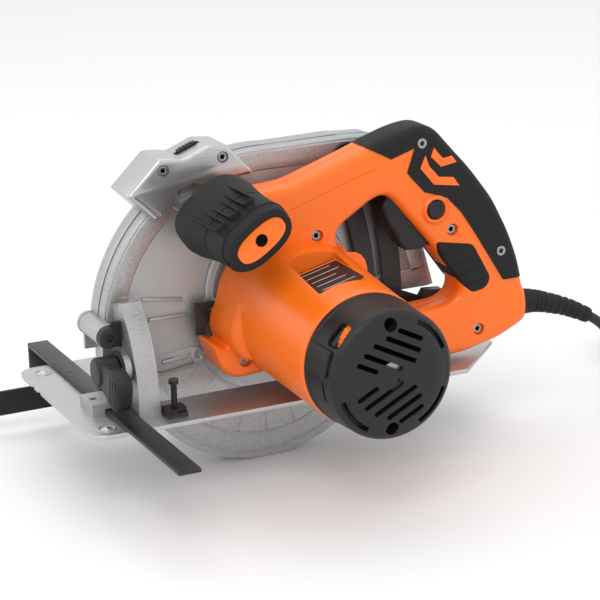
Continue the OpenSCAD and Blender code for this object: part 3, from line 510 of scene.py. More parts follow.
def sweep(path: Sequence[Point3], radii: Sequence[float], n: int = 20) -> Shape:
    """A tube along a path.

    Args:
        path: Its centre points.
        radii: Its radius at each.
        n: Points round it.
    Returns:
        The shape.
    """
    rings = []
    points = [Vector(p) for p in path]
    for i, p in enumerate(points):
        t = (points[min(i + 1, len(points) - 1)] - points[max(i - 1, 0)]).normalized()
        side = t.cross(Vector((0, 0, 1))) if abs(t.z) < 0.9 else t.cross(Vector((0, 1, 0)))
        side.normalize()
        up = side.cross(t)
        rings.append([
            tuple(p + radii[i] * (math.cos(a) * side + math.sin(a) * up))
            for a in (2 * math.pi * k / n for k in range(n))
        ])
    return loft(rings)


def box(x0: float, x1: float, y0: float, y1: float, z0: float, z1: float, r: float = 0.4) -> Shape:
    """A box with rounded edges.

    Args:
        x0, x1, y0, y1, z0, z1: Its limits in mm.
        r: Radius of its edges.
    Returns:
        The shape.
    """
    return slab(round_corners([(x0, z0), (x1, z0), (x1, z1), (x0, z1)], r, 3), y0, y1, r)


def spline(points: Sequence[Point3], n: int) -> list[Point3]:
    """A smooth line through points.

    Args:
        points: The points that it passes through.
        n: Steps between two of them.
    Returns:
        The line's points.
    """
    out: list[Point3] = []
    p = [Vector(q) for q in points]
    for i in range(len(p) - 1):
        a, b, c, d = p[max(i - 1, 0)], p[i], p[i + 1], p[min(i + 2, len(p) - 1)]
        for k in range(n):
            t = k / n
            out.append(tuple(0.5 * (2 * b + t * (c - a) + t * t * (2 * a - 5 * b + 4 * c - d)
                                    + t ** 3 * (3 * b - a - 3 * c + d))))
    out.append(tuple(p[-1]))
    return out


def piece(
    name: str, shape: Shape, finish: Finish, body: str, replaces: Sequence[str] = (),
    cut: Optional[Shape] = None, sharp: float = 38.0, keep: Optional[Shape] = None,
) -> bpy.types.Object:
    """Makes a piece of the saw.

    Args:
        name: Its name.
        shape: Its shape in mm.
        finish: Its surface.
        body: The CAD body it moves with.
        replaces: CAD pieces it is shown in place of.
        cut: A shape taken out of it.
        sharp: Angle in degrees above which an edge stays sharp.
        keep: A shape that it is kept inside.
    Returns:
        The object.
    """
    obj = mesh_object(name, shape)
    for tool_shape, operation in ((keep, "INTERSECT"), (cut, "DIFFERENCE")):
        if tool_shape is None:
            continue
        tool = mesh_object(name + "_tool", tool_shape)
        mod = obj.modifiers.new("cut", "BOOLEAN")
        mod.object = tool
        mod.operation = operation
        mod.solver = "EXACT"
        mod.use_self = True
        graph = bpy.context.evaluated_depsgraph_get()
        done = bpy.data.meshes.new_from_object(obj.evaluated_get(graph))
        obj.modifiers.clear()
        obj.data = done
        bpy.data.objects.remove(tool, do_unlink=True)
    obj.data.materials.clear()
    obj.data.materials.append(material(finish))
    obj.data.shade_smooth()
    obj.data.set_sharp_from_angle(angle=math.radians(sharp))
    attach(obj, body)
    if replaces:
        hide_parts(*replaces)
    return obj


def mesh_object(name: str, shape: Shape) -> bpy.types.Object:
    """Makes a mesh object in metres, with its faces turned outwards.

    Args:
        name: Its name.
        shape: Its shape in mm.
    Returns:
        The object.
    """
    mesh = bpy.data.meshes.new(name)
    mesh.from_pydata([(x * MM, y * MM, z * MM) for x, y, z in shape.verts], [], shape.faces)
    mesh.validate()
    work = bmesh.new()
    work.from_mesh(mesh)
    bmesh.ops.remove_doubles(work, verts=work.verts, dist=1e-6)
    bmesh.ops.recalc_face_normals(work, faces=work.faces)
    work.to_mesh(mesh)
    work.free()
    obj = bpy.data.objects.new(name, mesh)
    bpy.context.scene.collection.objects.link(obj)
    return obj


def torx_head(x: float, z: float, y: float, r: float = 3.6) -> tuple[Shape, Shape]:
    """A pan head with a star recess that looks towards -Y.

    Args:
        x, z: Its axis.
        y: Its face.
        r: Its radius.
    Returns:
        The head, and a near-black disc that paints the shade at the bottom of its recess.
    """
    star: list[Point] = []
    for k in range(36):
        a = k * math.pi / 18
        rr = r * (0.44 + 0.09 * math.cos(6 * a))
        star.append((x + rr * math.cos(a), z + rr * math.sin(a)))
    rim = arc(x, z, r, 0, 350, 35)
    # the second slab is a near-black disc that paints the shade at the bottom of the star recess
    return slab(rim, y, y + 2.2, 0.5, 0.1, holes=[star]), slab(inset(star, -0.1), y + 1.2, y + 1.6, 0.1)


def screw_set(names: tuple[str, str], spots: Iterable[Point3], r: float, node: str) -> None:
    """Adds star-headed screws that share one CAD piece.

    Args:
        names: Names for the heads and for the painted shade at the bottoms of their recesses.
        spots: X, Z and face Y of each screw.
        r: Radius of the heads.
        node: The CAD piece they are shown in place of.
    """
    heads, recess_shades = Shape(), Shape()
    for x, z, y in spots:
        head, painted_shade = torx_head(x, z, y, r)
        heads.add(head)
        recess_shades.add(painted_shade)
    piece(names[0], heads, Finish.STEEL, "saw", [node])
    # the recess bottoms get the near-black painted shade
    piece(names[1], recess_shades, Finish.PAINTED_SHADE, "saw")


# -------- sub-assemblies

@dataclass
class View:
    """Camera, light and the surface the saw stands on."""

    place: Point3 = (-0.5944, -1.3646, 0.5161)
    azimuth: float = -24.68
    elevation: float = 17.34
    roll: float = -1.69
    lens: float = 137.1

    def build(self) -> None:
        """Adds camera, lamps, world and floor."""
        az, el, roll = (math.radians(v) for v in (self.azimuth, self.elevation, self.roll))
        right = Vector((math.cos(az), math.sin(az), 0))
        ahead = Vector((-math.sin(az) * math.cos(el), math.cos(az) * math.cos(el), -math.sin(el)))
        up = right.cross(ahead)
        r2 = math.cos(roll) * right + math.sin(roll) * up
        u2 = -math.sin(roll) * right + math.cos(roll) * up
        data = bpy.data.cameras.new("camera")
        data.lens, data.sensor_width = self.lens, 36.0
        data.clip_start, data.clip_end = 0.05, 60.0
        camera = bpy.data.objects.new("camera", data)
        turn = Matrix((r2, u2, -ahead)).transposed().to_4x4()
        camera.matrix_world = Matrix.Translation(self.place) @ turn
        scene = bpy.context.scene
        scene.collection.objects.link(camera)
        scene.camera = camera
        scene.view_settings.view_transform = "Standard"
        scene.world = bpy.data.worlds.new("studio")
        scene.world.use_nodes = True
        sky = scene.world.node_tree.nodes["Background"].inputs
        sky["Color"].default_value = (1.0, 1.0, 1.0, 1.0)
        sky["Strength"].default_value = 1.0
        self.lamp("key", (-0.9, -1.5, 1.7), (0.0, -0.05, 0.05), 1.0, 16.0)
        self.lamp("fill", (1.6, -1.1, 0.9), (0.05, -0.05, 0.05), 1.4, 3.0)
        self.lamp("top", (0.1, 0.5, 1.9), (0.0, 0.0, 0.08), 1.5, 7.0)
        self.lamp("rim", (-1.3, 0.9, 0.8), (-0.05, 0.0, 0.08), 0.9, 3.0)
        size = 9000.0
        floor = mesh_object("floor", Shape(
            [(-size, -size, FLOOR_Z - 0.05), (size, -size, FLOOR_Z - 0.05),
             (size, size, FLOOR_Z - 0.05), (-size, size, FLOOR_Z - 0.05)], [(0, 1, 2, 3)]))
        mat = bpy.data.materials.new("paper")
        mat.use_nodes = True
        shader = mat.node_tree.nodes["Principled BSDF"]
        shader.inputs["Base Color"].default_value = (0.80, 0.80, 0.80, 1.0)
        shader.inputs["Roughness"].default_value = 0.85
        shader.inputs["Specular IOR Level"].default_value = 0.2
        floor.data.materials.append(mat)

    @staticmethod
    def lamp(name: str, at: Point3, to: Point3, size: float, power: float) -> None:
        """Adds a square soft lamp.

        Args:
            name: Its name.
            at, to: Where it is and what it looks at, in metres.
            size: Its side in metres.
            power: Its power in watts.
        """
        data = bpy.data.lights.new(name, "AREA")
        data.size, data.energy = size, power
        lamp = bpy.data.objects.new(name, data)
        lamp.location = at
        lamp.rotation_euler = (Vector(to) - Vector(at)).to_track_quat("-Z", "Y").to_euler()
        bpy.context.scene.collection.objects.link(lamp)


@dataclass
class Cord:
    """The cord, its boot and its plug."""

    body: str = "saw"

    def coil(self) -> list[Point3]:
        """Points of the unseen length, turn by turn, in mm."""
        cx, cy = COIL_CENTRE
        z0 = FLOOR_Z + 3.5
        turns = [(r, z0) for r in COIL_RADII] + [(r, z0 + 7.0) for r in reversed(COIL_RADII)]
        turns += [(COIL_RADII[0], z0 + 14.0)]
        points: list[Point3] = []
        steps = 60
        for t, (r, z) in enumerate(turns):
            last = t == len(turns) - 1
            nr, nz = (r, z) if last else turns[t + 1]
            for k in range(steps):
                if last and k > steps * 0.96:
                    break
                a = math.radians(-82 + 360 * k / steps)
                f = max(0.0, (k / steps - 0.8) / 0.2)
                f = f * f * (3 - 2 * f)
                rr, zz = r + (nr - r) * f, z + (nz - z) * f
                points.append((cx + rr * math.cos(a), cy + rr * math.sin(a), zz))
        return points

    def build(self) -> None:
        """Adds the boot and the cord."""
        start = [tuple(v / MM for v in point) for point in ROUTE]
        end = [(384.0, -9.0, -38.0), (395.0, -5.0, -29.0), (401.5, 2.0, -24.0), (404.0, 9.0, -22.8),
               (404.0, 15.0, -22.8)]
        line = spline([*start, *self.coil(), *end], 3)
        data = bpy.data.curves.new("cord", "CURVE")
        data.dimensions = "3D"
        data.bevel_depth = CORD_DIAMETER / 2
        data.bevel_resolution = 5
        data.use_fill_caps = True
        run = data.splines.new("POLY")
        run.points.add(len(line) - 1)
        for p, q in zip(run.points, line):
            p.co = (q[0] * MM, q[1] * MM, q[2] * MM, 1.0)
        cord = bpy.data.objects.new("cord", data)
        bpy.context.scene.collection.objects.link(cord)
        data.materials.append(material(Finish.CORD))
        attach(cord, self.body)
        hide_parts("power_cord", "cord_coil")
        total = sum((Vector(a) - Vector(b)).length for a, b in zip(line, line[1:])) * MM
        LOG.info("cord is %.3f m long", total)
        # boot: a smooth root, then ribs that get thinner towards the cord
        path = spline([(176, -42, 34), (188, -42, 33.4), (200, -42, 31), (220, -42, 24), (238, -42, 15)], 16)
        radii = []
        for i in range(len(path)):
            t = i / (len(path) - 1)
            r = 9.8 - 4.3 * t
            if t < 0.16:
                r = 10.0
            elif 0.34 < t < 0.93 and int(t * 44) % 3 == 0:
                r -= 0.8
            radii.append(r)
        piece("boot", sweep(path, radii, 28), Finish.RUBBER, self.body, ["cord_boot"], sharp=50)


@dataclass
class Sole:
    """The sole, its bevel quadrant's scale, the parallel guide and the bevel knob."""

    def outline(self) -> list[Point]:
        """The sole's outline seen from above, in mm."""
        pts = arc(-136, -60, 12, 180, 270, 8) + [(124, -72), (168, -28)]
        pts += arc(156, 69, 12, 0, 90, 8)
        pts += arc(-136, 69, 12, 90, 180, 8)
        pts += [(-148, 50.5), (-144.5, 47), (-148, 43.5), (-148, 37.5), (-144.5, 34), (-148, 30.5)]
        return pts

    def build(self) -> None:
        """Adds the group's pieces."""
        slot_hole = [(-96.3, -28), (96.3, -28), (96.3, 12), (-96.3, 12)]
        piece("sole_plate", slab(self.outline(), 0, 3, 0.35, 0.5, holes=[slot_hole], plane=Plane.XY),
              Finish.SATIN, "sole", ["base_plate"])
        # pressed rings round the two rivets
        for y in (-60, 66):
            ring = slab(arc(-134, y, 6.4, 0, 350, 35), 2.9, 3.5, 0.05, 0.3,
                        holes=[arc(-134, y, 4.9, 0, 350, 35)], plane=Plane.XY)
            piece(f"rivet_ring_{y}", ring, Finish.SATIN, "sole")
        marks = Shape()
        for i in range(19):
            a = math.radians(128 + i * 2.5)
            length = 8.5 if i % 6 == 0 else 5.0
            centre = Vector((0, 25.0 + 79.05 * math.cos(a), 14.5 + 79.05 * math.sin(a)))
            tick = box(-0.3 - length / 2, 0.3 + length / 2 - 0.3, -0.25, 0.25, -0.12, 0.22, 0.08)
            turn = Matrix.Translation((-101.6 + (8.5 - length) / 2, centre.y, centre.z))
            turn = turn @ Matrix.Rotation(a - math.pi / 2, 4, "X")
            marks.add(tick.moved(turn))
        piece("bevel_scale", marks, Finish.SATIN, "sole")
        self.guide()
        self.knob()

    def guide(self) -> None:
        """Adds the parallel guide with its stamped divisions."""
        bar = box(-125, -110, -160, 125, 3.2, 6.2, 0.6)
        bar.add(box(-125, -110, 122, 125, -27, 6.0, 0.6))
        shoe = round_corners([(-170, -44), (-82, -44), (-82, -26), (-170, -26)], 4, 5)
        bar.add(slab(shoe, 122, 125, 0.7))
        piece("guide_bar", bar, Finish.BLACK_STEEL, "parallel_guide", ["parallel_guide"])
        marks = Shape()
        for i in range(23):
            y = -150 + i * 10
            length = 7.5 if i % 5 == 0 else 4.5
            marks.add(box(-124.4, -124.4 + length, y - 0.18, y + 0.18, 6.12, 6.28, 0.04))
        piece("guide_divisions", marks, Finish.LABEL, "parallel_guide")

    def knob(self) -> None:
        """Adds the wing knob that clamps the bevel."""
        y, z = BOLT
        lobe = round_corners([(-5, -9), (-14, -9.5), (-20, -12.5), (-31, -13), (-35, -9), (-35.5, 6),
                              (-32, 11), (-21, 12.5), (-13, 9.5), (-5, 9)], 4, 4)
        back = round_corners([(3, -7.5), (10, -6), (10.8, 0), (10, 6), (3, 7.5)], 2.5, 4)
        shape = slab(lobe, -131.5, -119.6, 2.6, 2.0, plane=Plane.YZ)
        shape.add(slab(back, -131.5, -119.6, 2.0, plane=Plane.YZ))
        shape.add(slab(arc(0, 0, 9.5, 0, 350, 35), -133, -117.5, 1.6, plane=Plane.YZ))
        washer = toothed(11.4, 0.045, 30)
        shape.add(slab(washer, -117.5, -115.3, 0.3, plane=Plane.YZ))
        for dy in (-24, -28, -32):
            shape.add(box(-131.9, -131.2, dy - 0.5, dy + 0.5, -9, 9, 0.3))
        turn = turned((0, y, z), 12, "X")
        bolt = slab(arc(y, z, 3, 0, 350, 35), -116, -100.5, 0.2, plane=Plane.YZ)
        bolt.add(slab(arc(y, z, 5.5, 0, 300, 5), -104.2, -101, 0.3, plane=Plane.YZ))
        piece("wing_knob", shape.moved(turn), Finish.NYLON, "bevel_knob", ["bevel_knob"])
        piece("wing_knob_bolt", bolt, Finish.STEEL, "bevel_knob")


@dataclass
class Guard:
    """Upper guard with its bands and boss, and the raised lines of the lower guard."""

    radius: float = 117.0

    def outline(self, grow: float = 0.0) -> list[Point]:
        """Side view of the upper guard in mm, anticlockwise.

        Args:
            grow: How much larger than the plain outline.
        Returns:
            The outline.
        """
        r, g = self.radius + grow, grow
        top = [(62, ARBOR_Z + r), (82, ARBOR_Z + r - 1), (97 + g, ARBOR_Z + r - 7), (110 + g, 118 + g / 2),
               (122 + g, 80), (130.6 + g, 47)]
        low = [(126, 46), (95, 46), (60, 36), (0, 26), (-46, 18), (-73, 14), (-93, 14), (-103.4, 30),
               (-106.4, 46)]
        front = arc(0, ARBOR_Z, r, 178, 92, 46)
        pts = low + [(-116.5 - g, 46.4)] + front + [(0, ARBOR_Z + r), (30, ARBOR_Z + r)] + top
        return list(reversed(pts))

    def build(self) -> None:
        """Adds the guard's pieces."""
        near = slab(self.outline(), -12, -3.2, 1.8, 0.3)
        near.add(slab(self.outline(0.2), -3.0, -2.6, 0.05))
        body = lathe([(0, -24.0), (7.2, -24.0), (7.7, -23.5), (7.7, 5.6), (7.3, 6.0), (0, 6.0)], *PIVOT, 48)
        near.add(body)
        hollow = slab(inset(self.outline(), 2.2), -10.2, 0, 0.3)
        hollow.add(rod(18.4, -40, 0, 0, ARBOR_Z, 64))
        piece("guard_near", near, Finish.CAST, "saw", ["upper_guard"], cut=hollow)
        # the far half's rounded rim, and a near-black band set in the seam between the halves, painted shade of the
        # gap
        rim = slab(self.outline(0.5), -2.2, 10.0, 0.5, 3.2, holes=[inset(self.outline(), 5.0)])
        piece("guard_far_rim", rim, Finish.CAST, "saw")
        seam = slab(self.outline(-0.6), -3.3, -2.1, 0.05, holes=[inset(self.outline(), 3.0)])
        piece("guard_seam_shade", seam, Finish.PAINTED_SHADE, "saw")
        # raised outer band on the near face, and the inner face one step lower
        band_out, band_in = inset(self.outline(), 2.2), inset(self.outline(), 15.0)
        band = slab(band_out, -13.0, -11.8, 0.9, 0.1, holes=[band_in])
        piece("guard_band", band, Finish.CAST, "saw")
        self.ribs()
        self.boss()
        self.lower()

    def ribs(self) -> None:
        """Adds the two short ribs, the hexagon and the fin beside the line guide."""
        shape = Shape()
        for (x0, z0), (x1, z1) in (((-84, 55), (-56, 55)), ((-76, 24), (-50, 27)), ((-88, 70), (-60, 66))):
            d = Vector((x1 - x0, z1 - z0)).normalized() * 1.2
            quad = [(x0 + d.y, z0 - d.x), (x1 + d.y, z1 - d.x), (x1 - d.y, z1 + d.x), (x0 - d.y, z0 + d.x)]
            shape.add(slab(quad, -14.0, -11.9, 0.6, 0.1))
        shape.add(slab(arc(-50, 26, 6, 0, 300, 5), -14.6, -11.9, 0.5, 0.1,
                       holes=[arc(-50, 26, 2.4, 0, 340, 17)]))
        fin = [(-66, 132), (-52, 120), (-44, 126), (-50, 138)]
        shape.add(slab(fin, -17, -11.9, 0.8, 0.1))
        piece("guard_ribs", shape, Finish.CAST, "saw")

    def boss(self) -> None:
        """Adds the round boss that the gear case stands on."""
        base = slab(cut_arc(10, 64, 54, 19.0), -16, -11.8, 1.4, 0.1)
        base.add(slab(cut_arc(10, 64, 50.5, 23.0), -17.4, -15.9, 0.5, 0.1, holes=[cut_arc(10, 64, 46.5, 26.0)]))
        base.add(slab(cut_arc(8, 60, 44, 21.0), -22, -15.9, 0.6, 0.1))
        piece("gear_case", base, Finish.CAST, "saw")
        screws = Shape()
        for x, z in ((-30, 96), (50, 92), (-37, 62)):
            screws.add(torx_head(x, z, -19.4, 3.0)[0])
        piece("gear_case_screws", screws, Finish.STEEL, "saw")

    def lower(self) -> None:
        """Adds the raised ring and spokes on the lower guard's near face."""
        shape = Shape()
        for r in (96.5, 84.0, 52.0):
            outer = arc(0, ARBOR_Z, r + 0.9, 181, 357, 80)
            inner = arc(0, ARBOR_Z, r - 0.9, 357, 181, 80)
            shape.add(slab(outer + inner, -10.1, -9.5, 0.35, 0.05))
        for a in range(195, 350, 15):
            t = math.radians(a)
            c, s = math.cos(t), math.sin(t)
            corners = ((53, -0.7), (83, -0.7), (83, 0.7), (53, 0.7))
            p = [(r * c + k * s, ARBOR_Z + r * s - k * c) for r, k in corners]
            shape.add(slab(p, -10.0, -9.5, 0.3, 0.05))
        piece("lower_guard_lines", shape, Finish.CAST, "lower_guard")


@dataclass
class Motor:
    """The barrel, the end cap with its vents, the dial and the label."""

    @staticmethod
    def section(t: float, grow: float = 0.0) -> tuple[float, float, float]:
        """Centre and radius of the barrel.

        Args:
            t: How far along it is, from 0 at the flange to 1 at the seam.
            grow: How much larger than the plain barrel.
        Returns:
            X and Z of the centre, and the radius.
        """
        return 8 + (MOTOR[0] - 8) * t, 60 + (MOTOR[1] - 60) * t, 47.6 + (44.6 - 47.6) * t + grow

    def ring(self, y: float, grow: float = 0.0, floor: float = 5.2) -> list[Point3]:
        """One ring of the barrel.

        Args:
            y: Its station.
            grow: How much larger than the plain barrel.
            floor: The level that it is cut off at, clear of the sole.
        Returns:
            The ring.
        """
        t = min(1.0, max(0.0, (-42.0 - y) / 93.0))
        t = t * t * (3 - 2 * t) * 0.5 + t * 0.5
        cx, cz, r = self.section(t, grow)
        out = []
        for k in range(120):
            a = 2 * math.pi * k / 120
            x, z = cx + r * math.cos(a), cz + r * math.sin(a)
            out.append((x, y, max(z, floor)))
        return out

    def build(self) -> None:
        """Adds the group's pieces."""
        stations = [(-22.2, -1.2), (-23.2, 0.0), (-30, 0), (-42, 0), (-55, 0), (-70, 0), (-85, 0), (-100, 0),
                    (-115, 0), (-128, 0), (-133.6, 0), (-134.6, -0.6)]
        barrel = loft([self.ring(y, g) for y, g in stations])
        ear = round_corners([(-43, 38), (-54, 44), (-48, 24), (-38, 17), (-24, 18), (0, 20), (4, 60),
                             (-30, 66)], 6, 5)
        barrel.add(slab(ear, -50, -22.4, 3.0, 0.4))
        blend = round_corners([(-34, 78), (-46, 50), (-40, 34), (-20, 24), (10, 30), (0, 80)], 8, 5)
        barrel.add(slab(blend, -62, -22.4, 7.0, 0.4, steps=5))
        cut = rod(4.6, -60, -47.0, *EAR_SCREW)
        label = box(-16, 18, -116, -72, 45.3, 60, 1.5)
        turn = turned((MOTOR[0] + 4, 0, MOTOR[1]), -14)
        cut.add(label.moved(turn))
        piece("motor_barrel", barrel, Finish.ORANGE, "saw", ["motor_housing"], cut=cut)
        plate = box(-15, 17, -115, -73, 45.2, 46.0, 0.5).moved(turn)
        piece("motor_label", plate, Finish.LABEL, "saw", ["label_plate"])
        lines = Shape()
        for k in range(5):
            lines.add(box(-11, 13 - 3 * (k % 3), -110 + 8 * k, -109.2 + 8 * k, 45.9, 46.15, 0.05).moved(turn))
        piece("motor_label_lines", lines, Finish.MARK, "saw")
        screw_set(("ear_screw", "ear_screw_recess_shade"), [(*EAR_SCREW, -47.6)], 3.7, "housing_screws")
        self.cap()

    def cap(self) -> None:
        """Adds the end cap."""
        x, z = MOTOR
        profile: list[Point] = [(0, -130.5), (41.4, -130.5), (41.4, -134.8), (43.9, -134.8), (44.1, -135.4),
                                (44.1, -139.0), (43.5, -139.6), (43.3, -150), (42.6, -164)]
        profile += [(37.6 + 5.0 * math.cos(a), -166.2 - 5.6 * math.sin(a)) for a in
                    (k * math.pi / 14 for k in range(1, 7))]
        profile += [(35.5, -172.4), (33.0, -173.8), (28, -174.4), (0, -174.6)]
        shape = lathe(profile, x, z, 144)
        cut = Shape()
        fan = ((-17, 8.5, 8.0), (-6, 11.0, 15.0), (2, 15.5, 16.5), (8, 20.5, 13.5), (13, 26.0, 9.5))
        for s in (-1, 1):
            for dx, dz, half in fan:
                slot = round_corners([(-half, -1.6), (half, -1.6), (half, 1.6), (-half, 1.6)], 1.4, 4)
                cut.add(slab(slot, -180, -166.0, 0.2).moved(turned((x + dx - 2, 0, z + s * dz), s * 27)))
        for a0, a1 in ((20, 62), (198, 240), (-62, -20)):
            outer, inner = arc(x, z, 38.6, a0, a1, 16), arc(x, z, 35.4, a1, a0, 16)
            cut.add(slab(outer + inner, -182, -166, 0.2))
        for dz in (-34, 34):
            cut.add(rod(4.4, -180, -158, x - 2, z + dz))
        cut.add(rod(1.3, -180, -173.6, x + 2, z - 2))
        dial_cut = box(-8.6, 8.6, -168.0, -154.0, 30, 60, 3.5)
        cut.add(dial_cut.moved(turned((x, 0, z), -48) @ Matrix.Translation((0, 0, 7.2))))
        for a in (-100, -78, 150, 172):
            groove = box(-6.5, 6.5, -160.5, -158.0, 41.2, 50, 1.0)
            cut.add(groove.moved(turned((x, 0, z), a)))
        piece("motor_cap", shape, Finish.NYLON, "saw", ["motor_end_cap"], cut=cut, sharp=30)
        # near-black disc behind the vent slots, painted shade inside the cap
        piece("cap_inside_shade", rod(33.0, -166.2, -165.4, x, z, 96), Finish.PAINTED_SHADE, "saw")
        dial = slab(toothed(17.2, 0.028, 36, *DIAL), -163.6, -158.0, 0.5)
        piece("dial_wheel", dial, Finish.ORANGE, "speed_dial", ["speed_dial"])
        panel = round_corners([(-9, -13), (9, -13), (9, 13), (-9, 13)], 3, 5)
        raised = slab([(a, b - 152) for a, b in panel], 42.6, 45.0, 0.1, 0.8, plane=Plane.XY)
        piece("brush_panel", raised.moved(turned((x, 0, z), -74)), Finish.NYLON, "saw")
        spots = [(x - 2, z + dz, -159.5) for dz in (-34, 34)]
        screw_set(("cap_screws", "cap_screw_recess_shades"), spots, 3.8, "end_cap_screws")


@dataclass
class Handle:
    """The main handle's shells, overmould, pad, chevrons, trigger and button."""

    outer: list[Point] = field(default_factory=lambda: round_corners([
        (-12, 88), (-12, 104), (-22, 110), (-26, 118), (-26, 134), (-23, 141), (-16, 143), (4, 144), (45, 157),
        (68, 165), (84, 170), (100, 172.5), (110, 169), (121, 156), (137, 138), (154, 115), (166, 91), (173, 72),
        (178, 50), (181, 44), (182, 32), (180, 24), (158, 14), (130, 8), (60, 6.5), (56, 40), (50, 88)], 7, 4))
    window: list[Point] = field(default_factory=lambda: round_corners([
        (36, 104), (38, 111), (62, 126), (70, 128.5), (77, 126), (104, 93), (129, 59), (127, 50), (118, 45),
        (97, 44), (66, 42), (61, 60), (50, 80), (38, 94)], 6, 4))
    over: list[Point] = field(default_factory=lambda: [
        (161, 57), (152, 72), (140, 92), (129, 109), (118, 121), (109, 124.5), (101, 127), (92, 137), (88, 142),
        (92, 153), (94, 158.5), (76, 153.0), (58, 163.0)])

    def build(self) -> None:
        """Adds the group's pieces."""
        near = slab(self.outer, NEAR, MID - 0.15, 6.0, 0.5, holes=[self.window], steps=5)
        far = slab(self.outer, MID + 0.15, FAR, 0.5, 6.0, holes=[self.window], steps=5)
        cut = Shape()
        for x, z in ((21, 108), (122, 98), (142, 24)):
            cut.add(rod(4.3, -60, -52.8, x, z))
        cut.add(rod(6.8, -60, -51, *BUTTON, 40))
        trig = round_corners([(66, 117), (74, 134), (86, 138), (100, 133), (122, 97), (104, 83), (86, 83)], 3, 3)
        cut.add(slab(trig, -50.3, -33.7, 0.3))
        groove = [(2, 128), (44, 141.5), (66, 148), (66, 148.8), (44, 142.3), (2, 128.8)]
        cut.add(slab(groove, -58, -55.5, 0.1))
        piece("handle_near", near, Finish.ORANGE, "saw", ["handle_near_shell"], cut=cut)
        piece("handle_far", far, Finish.ORANGE, "saw", ["handle_far_shell"],
              cut=slab(trig, -50.3, -33.7, 0.3))
        self.rubber()
        self.controls()

    def rubber(self) -> None:
        """Adds the overmould and its two chevrons, and the pad below the trigger."""
        region = [*self.over, (58, 190), (150, 195), (210, 100), (210, 56.5)]
        grown = inset(self.outer if area2(self.outer) > 0 else list(reversed(self.outer)), -0.5)
        whole = slab(grown, NEAR - 0.8, FAR + 0.8, 6.4, 6.4, holes=[self.window], steps=6)
        piece("overmould", whole, Finish.RUBBER, "saw", ["handle_overmould"],
              keep=slab(region, -60, -20, 0.3))
        upper = [(108, 157), (105.4, 151), (113, 143.2), (125, 145), (121.5, 149.8), (114.6, 149), (111, 153)]
        lower = [(101.4, 152.6), (97.4, 144), (107.4, 131.6), (127, 128.4), (122.4, 135), (111.4, 136.6),
                 (104, 145)]
        chevrons = slab(upper, NEAR - 1.5, NEAR + 1, 0.5, 0.1)
        chevrons.add(slab(lower, NEAR - 1.5, NEAR + 1, 0.5, 0.1))
        piece("chevrons", chevrons, Finish.ORANGE, "saw")
        pad = round_corners([(109, 92), (138, 86.5), (152, 60), (148, 52.5), (136, 50.5), (128, 60),
                             (112, 82.5)], 4, 4)
        shape = slab(pad, NEAR - 0.7, FAR + 0.7, 2.2, 2.2, steps=5)
        piece("pad", shape, Finish.RUBBER, "saw", ["grip_pad"])
        grooves = Shape()
        for k in range(4):
            x, z = 120 + 6.5 * k, 84 - 8.2 * k
            grooves.add(slab([(x - 6, z - 4.6), (x + 8, z + 1), (x + 7.6, z + 2), (x - 6.4, z - 3.6)],
                             NEAR - 1.1, NEAR, 0.3, 0.1))
        piece("pad_ribs", grooves, Finish.RUBBER, "saw")

    def controls(self) -> None:
        """Adds the trigger, the lock-off button with its ring, and the screws."""
        x, z = 84.0, 127.0
        outline = round_corners(arc(x, z, 8, 60, 190, 8) + [(72, 119), (76, 108), (82, 98), (85, 91), (90, 86),
                                                           (104, 86), (108, 90), (97, 106)], 2, 3)
        shape = slab(outline, MID - 8, MID + 8, 2.6, steps=5)
        piece("trigger_blade", shape, Finish.NYLON, "trigger", ["trigger"])
        ring = lathe([(6.7, -55.5), (7.2, -57.4), (8.2, -57.9), (9.8, -57.0), (10.6, -55.5), (6.7, -55.5)],
                     *BUTTON, 60)
        ring.faces = [f for f in ring.faces if len(f) == 4]
        piece("button_ring", ring, Finish.ORANGE, "saw")
        button = lathe([(0, -53), (4.4, -53), (6.4, -54), (6.4, -57.0), (5.6, -57.9), (4.0, -58.0), (3.4, -57.5),
                        (0, -57.3)], *BUTTON, 48)
        piece("button", button, Finish.NYLON, "lock_off", ["lock_off_button"])
        spots = [(21, 108, -54.0), (122, 98, -54.0), (142, 24, -54.0), (99, 161, -57.5), (159, 78, -57.5)]
        screw_set(("handle_screw_heads", "handle_screw_recess_shades"), spots, 3.5, "handle_screws")


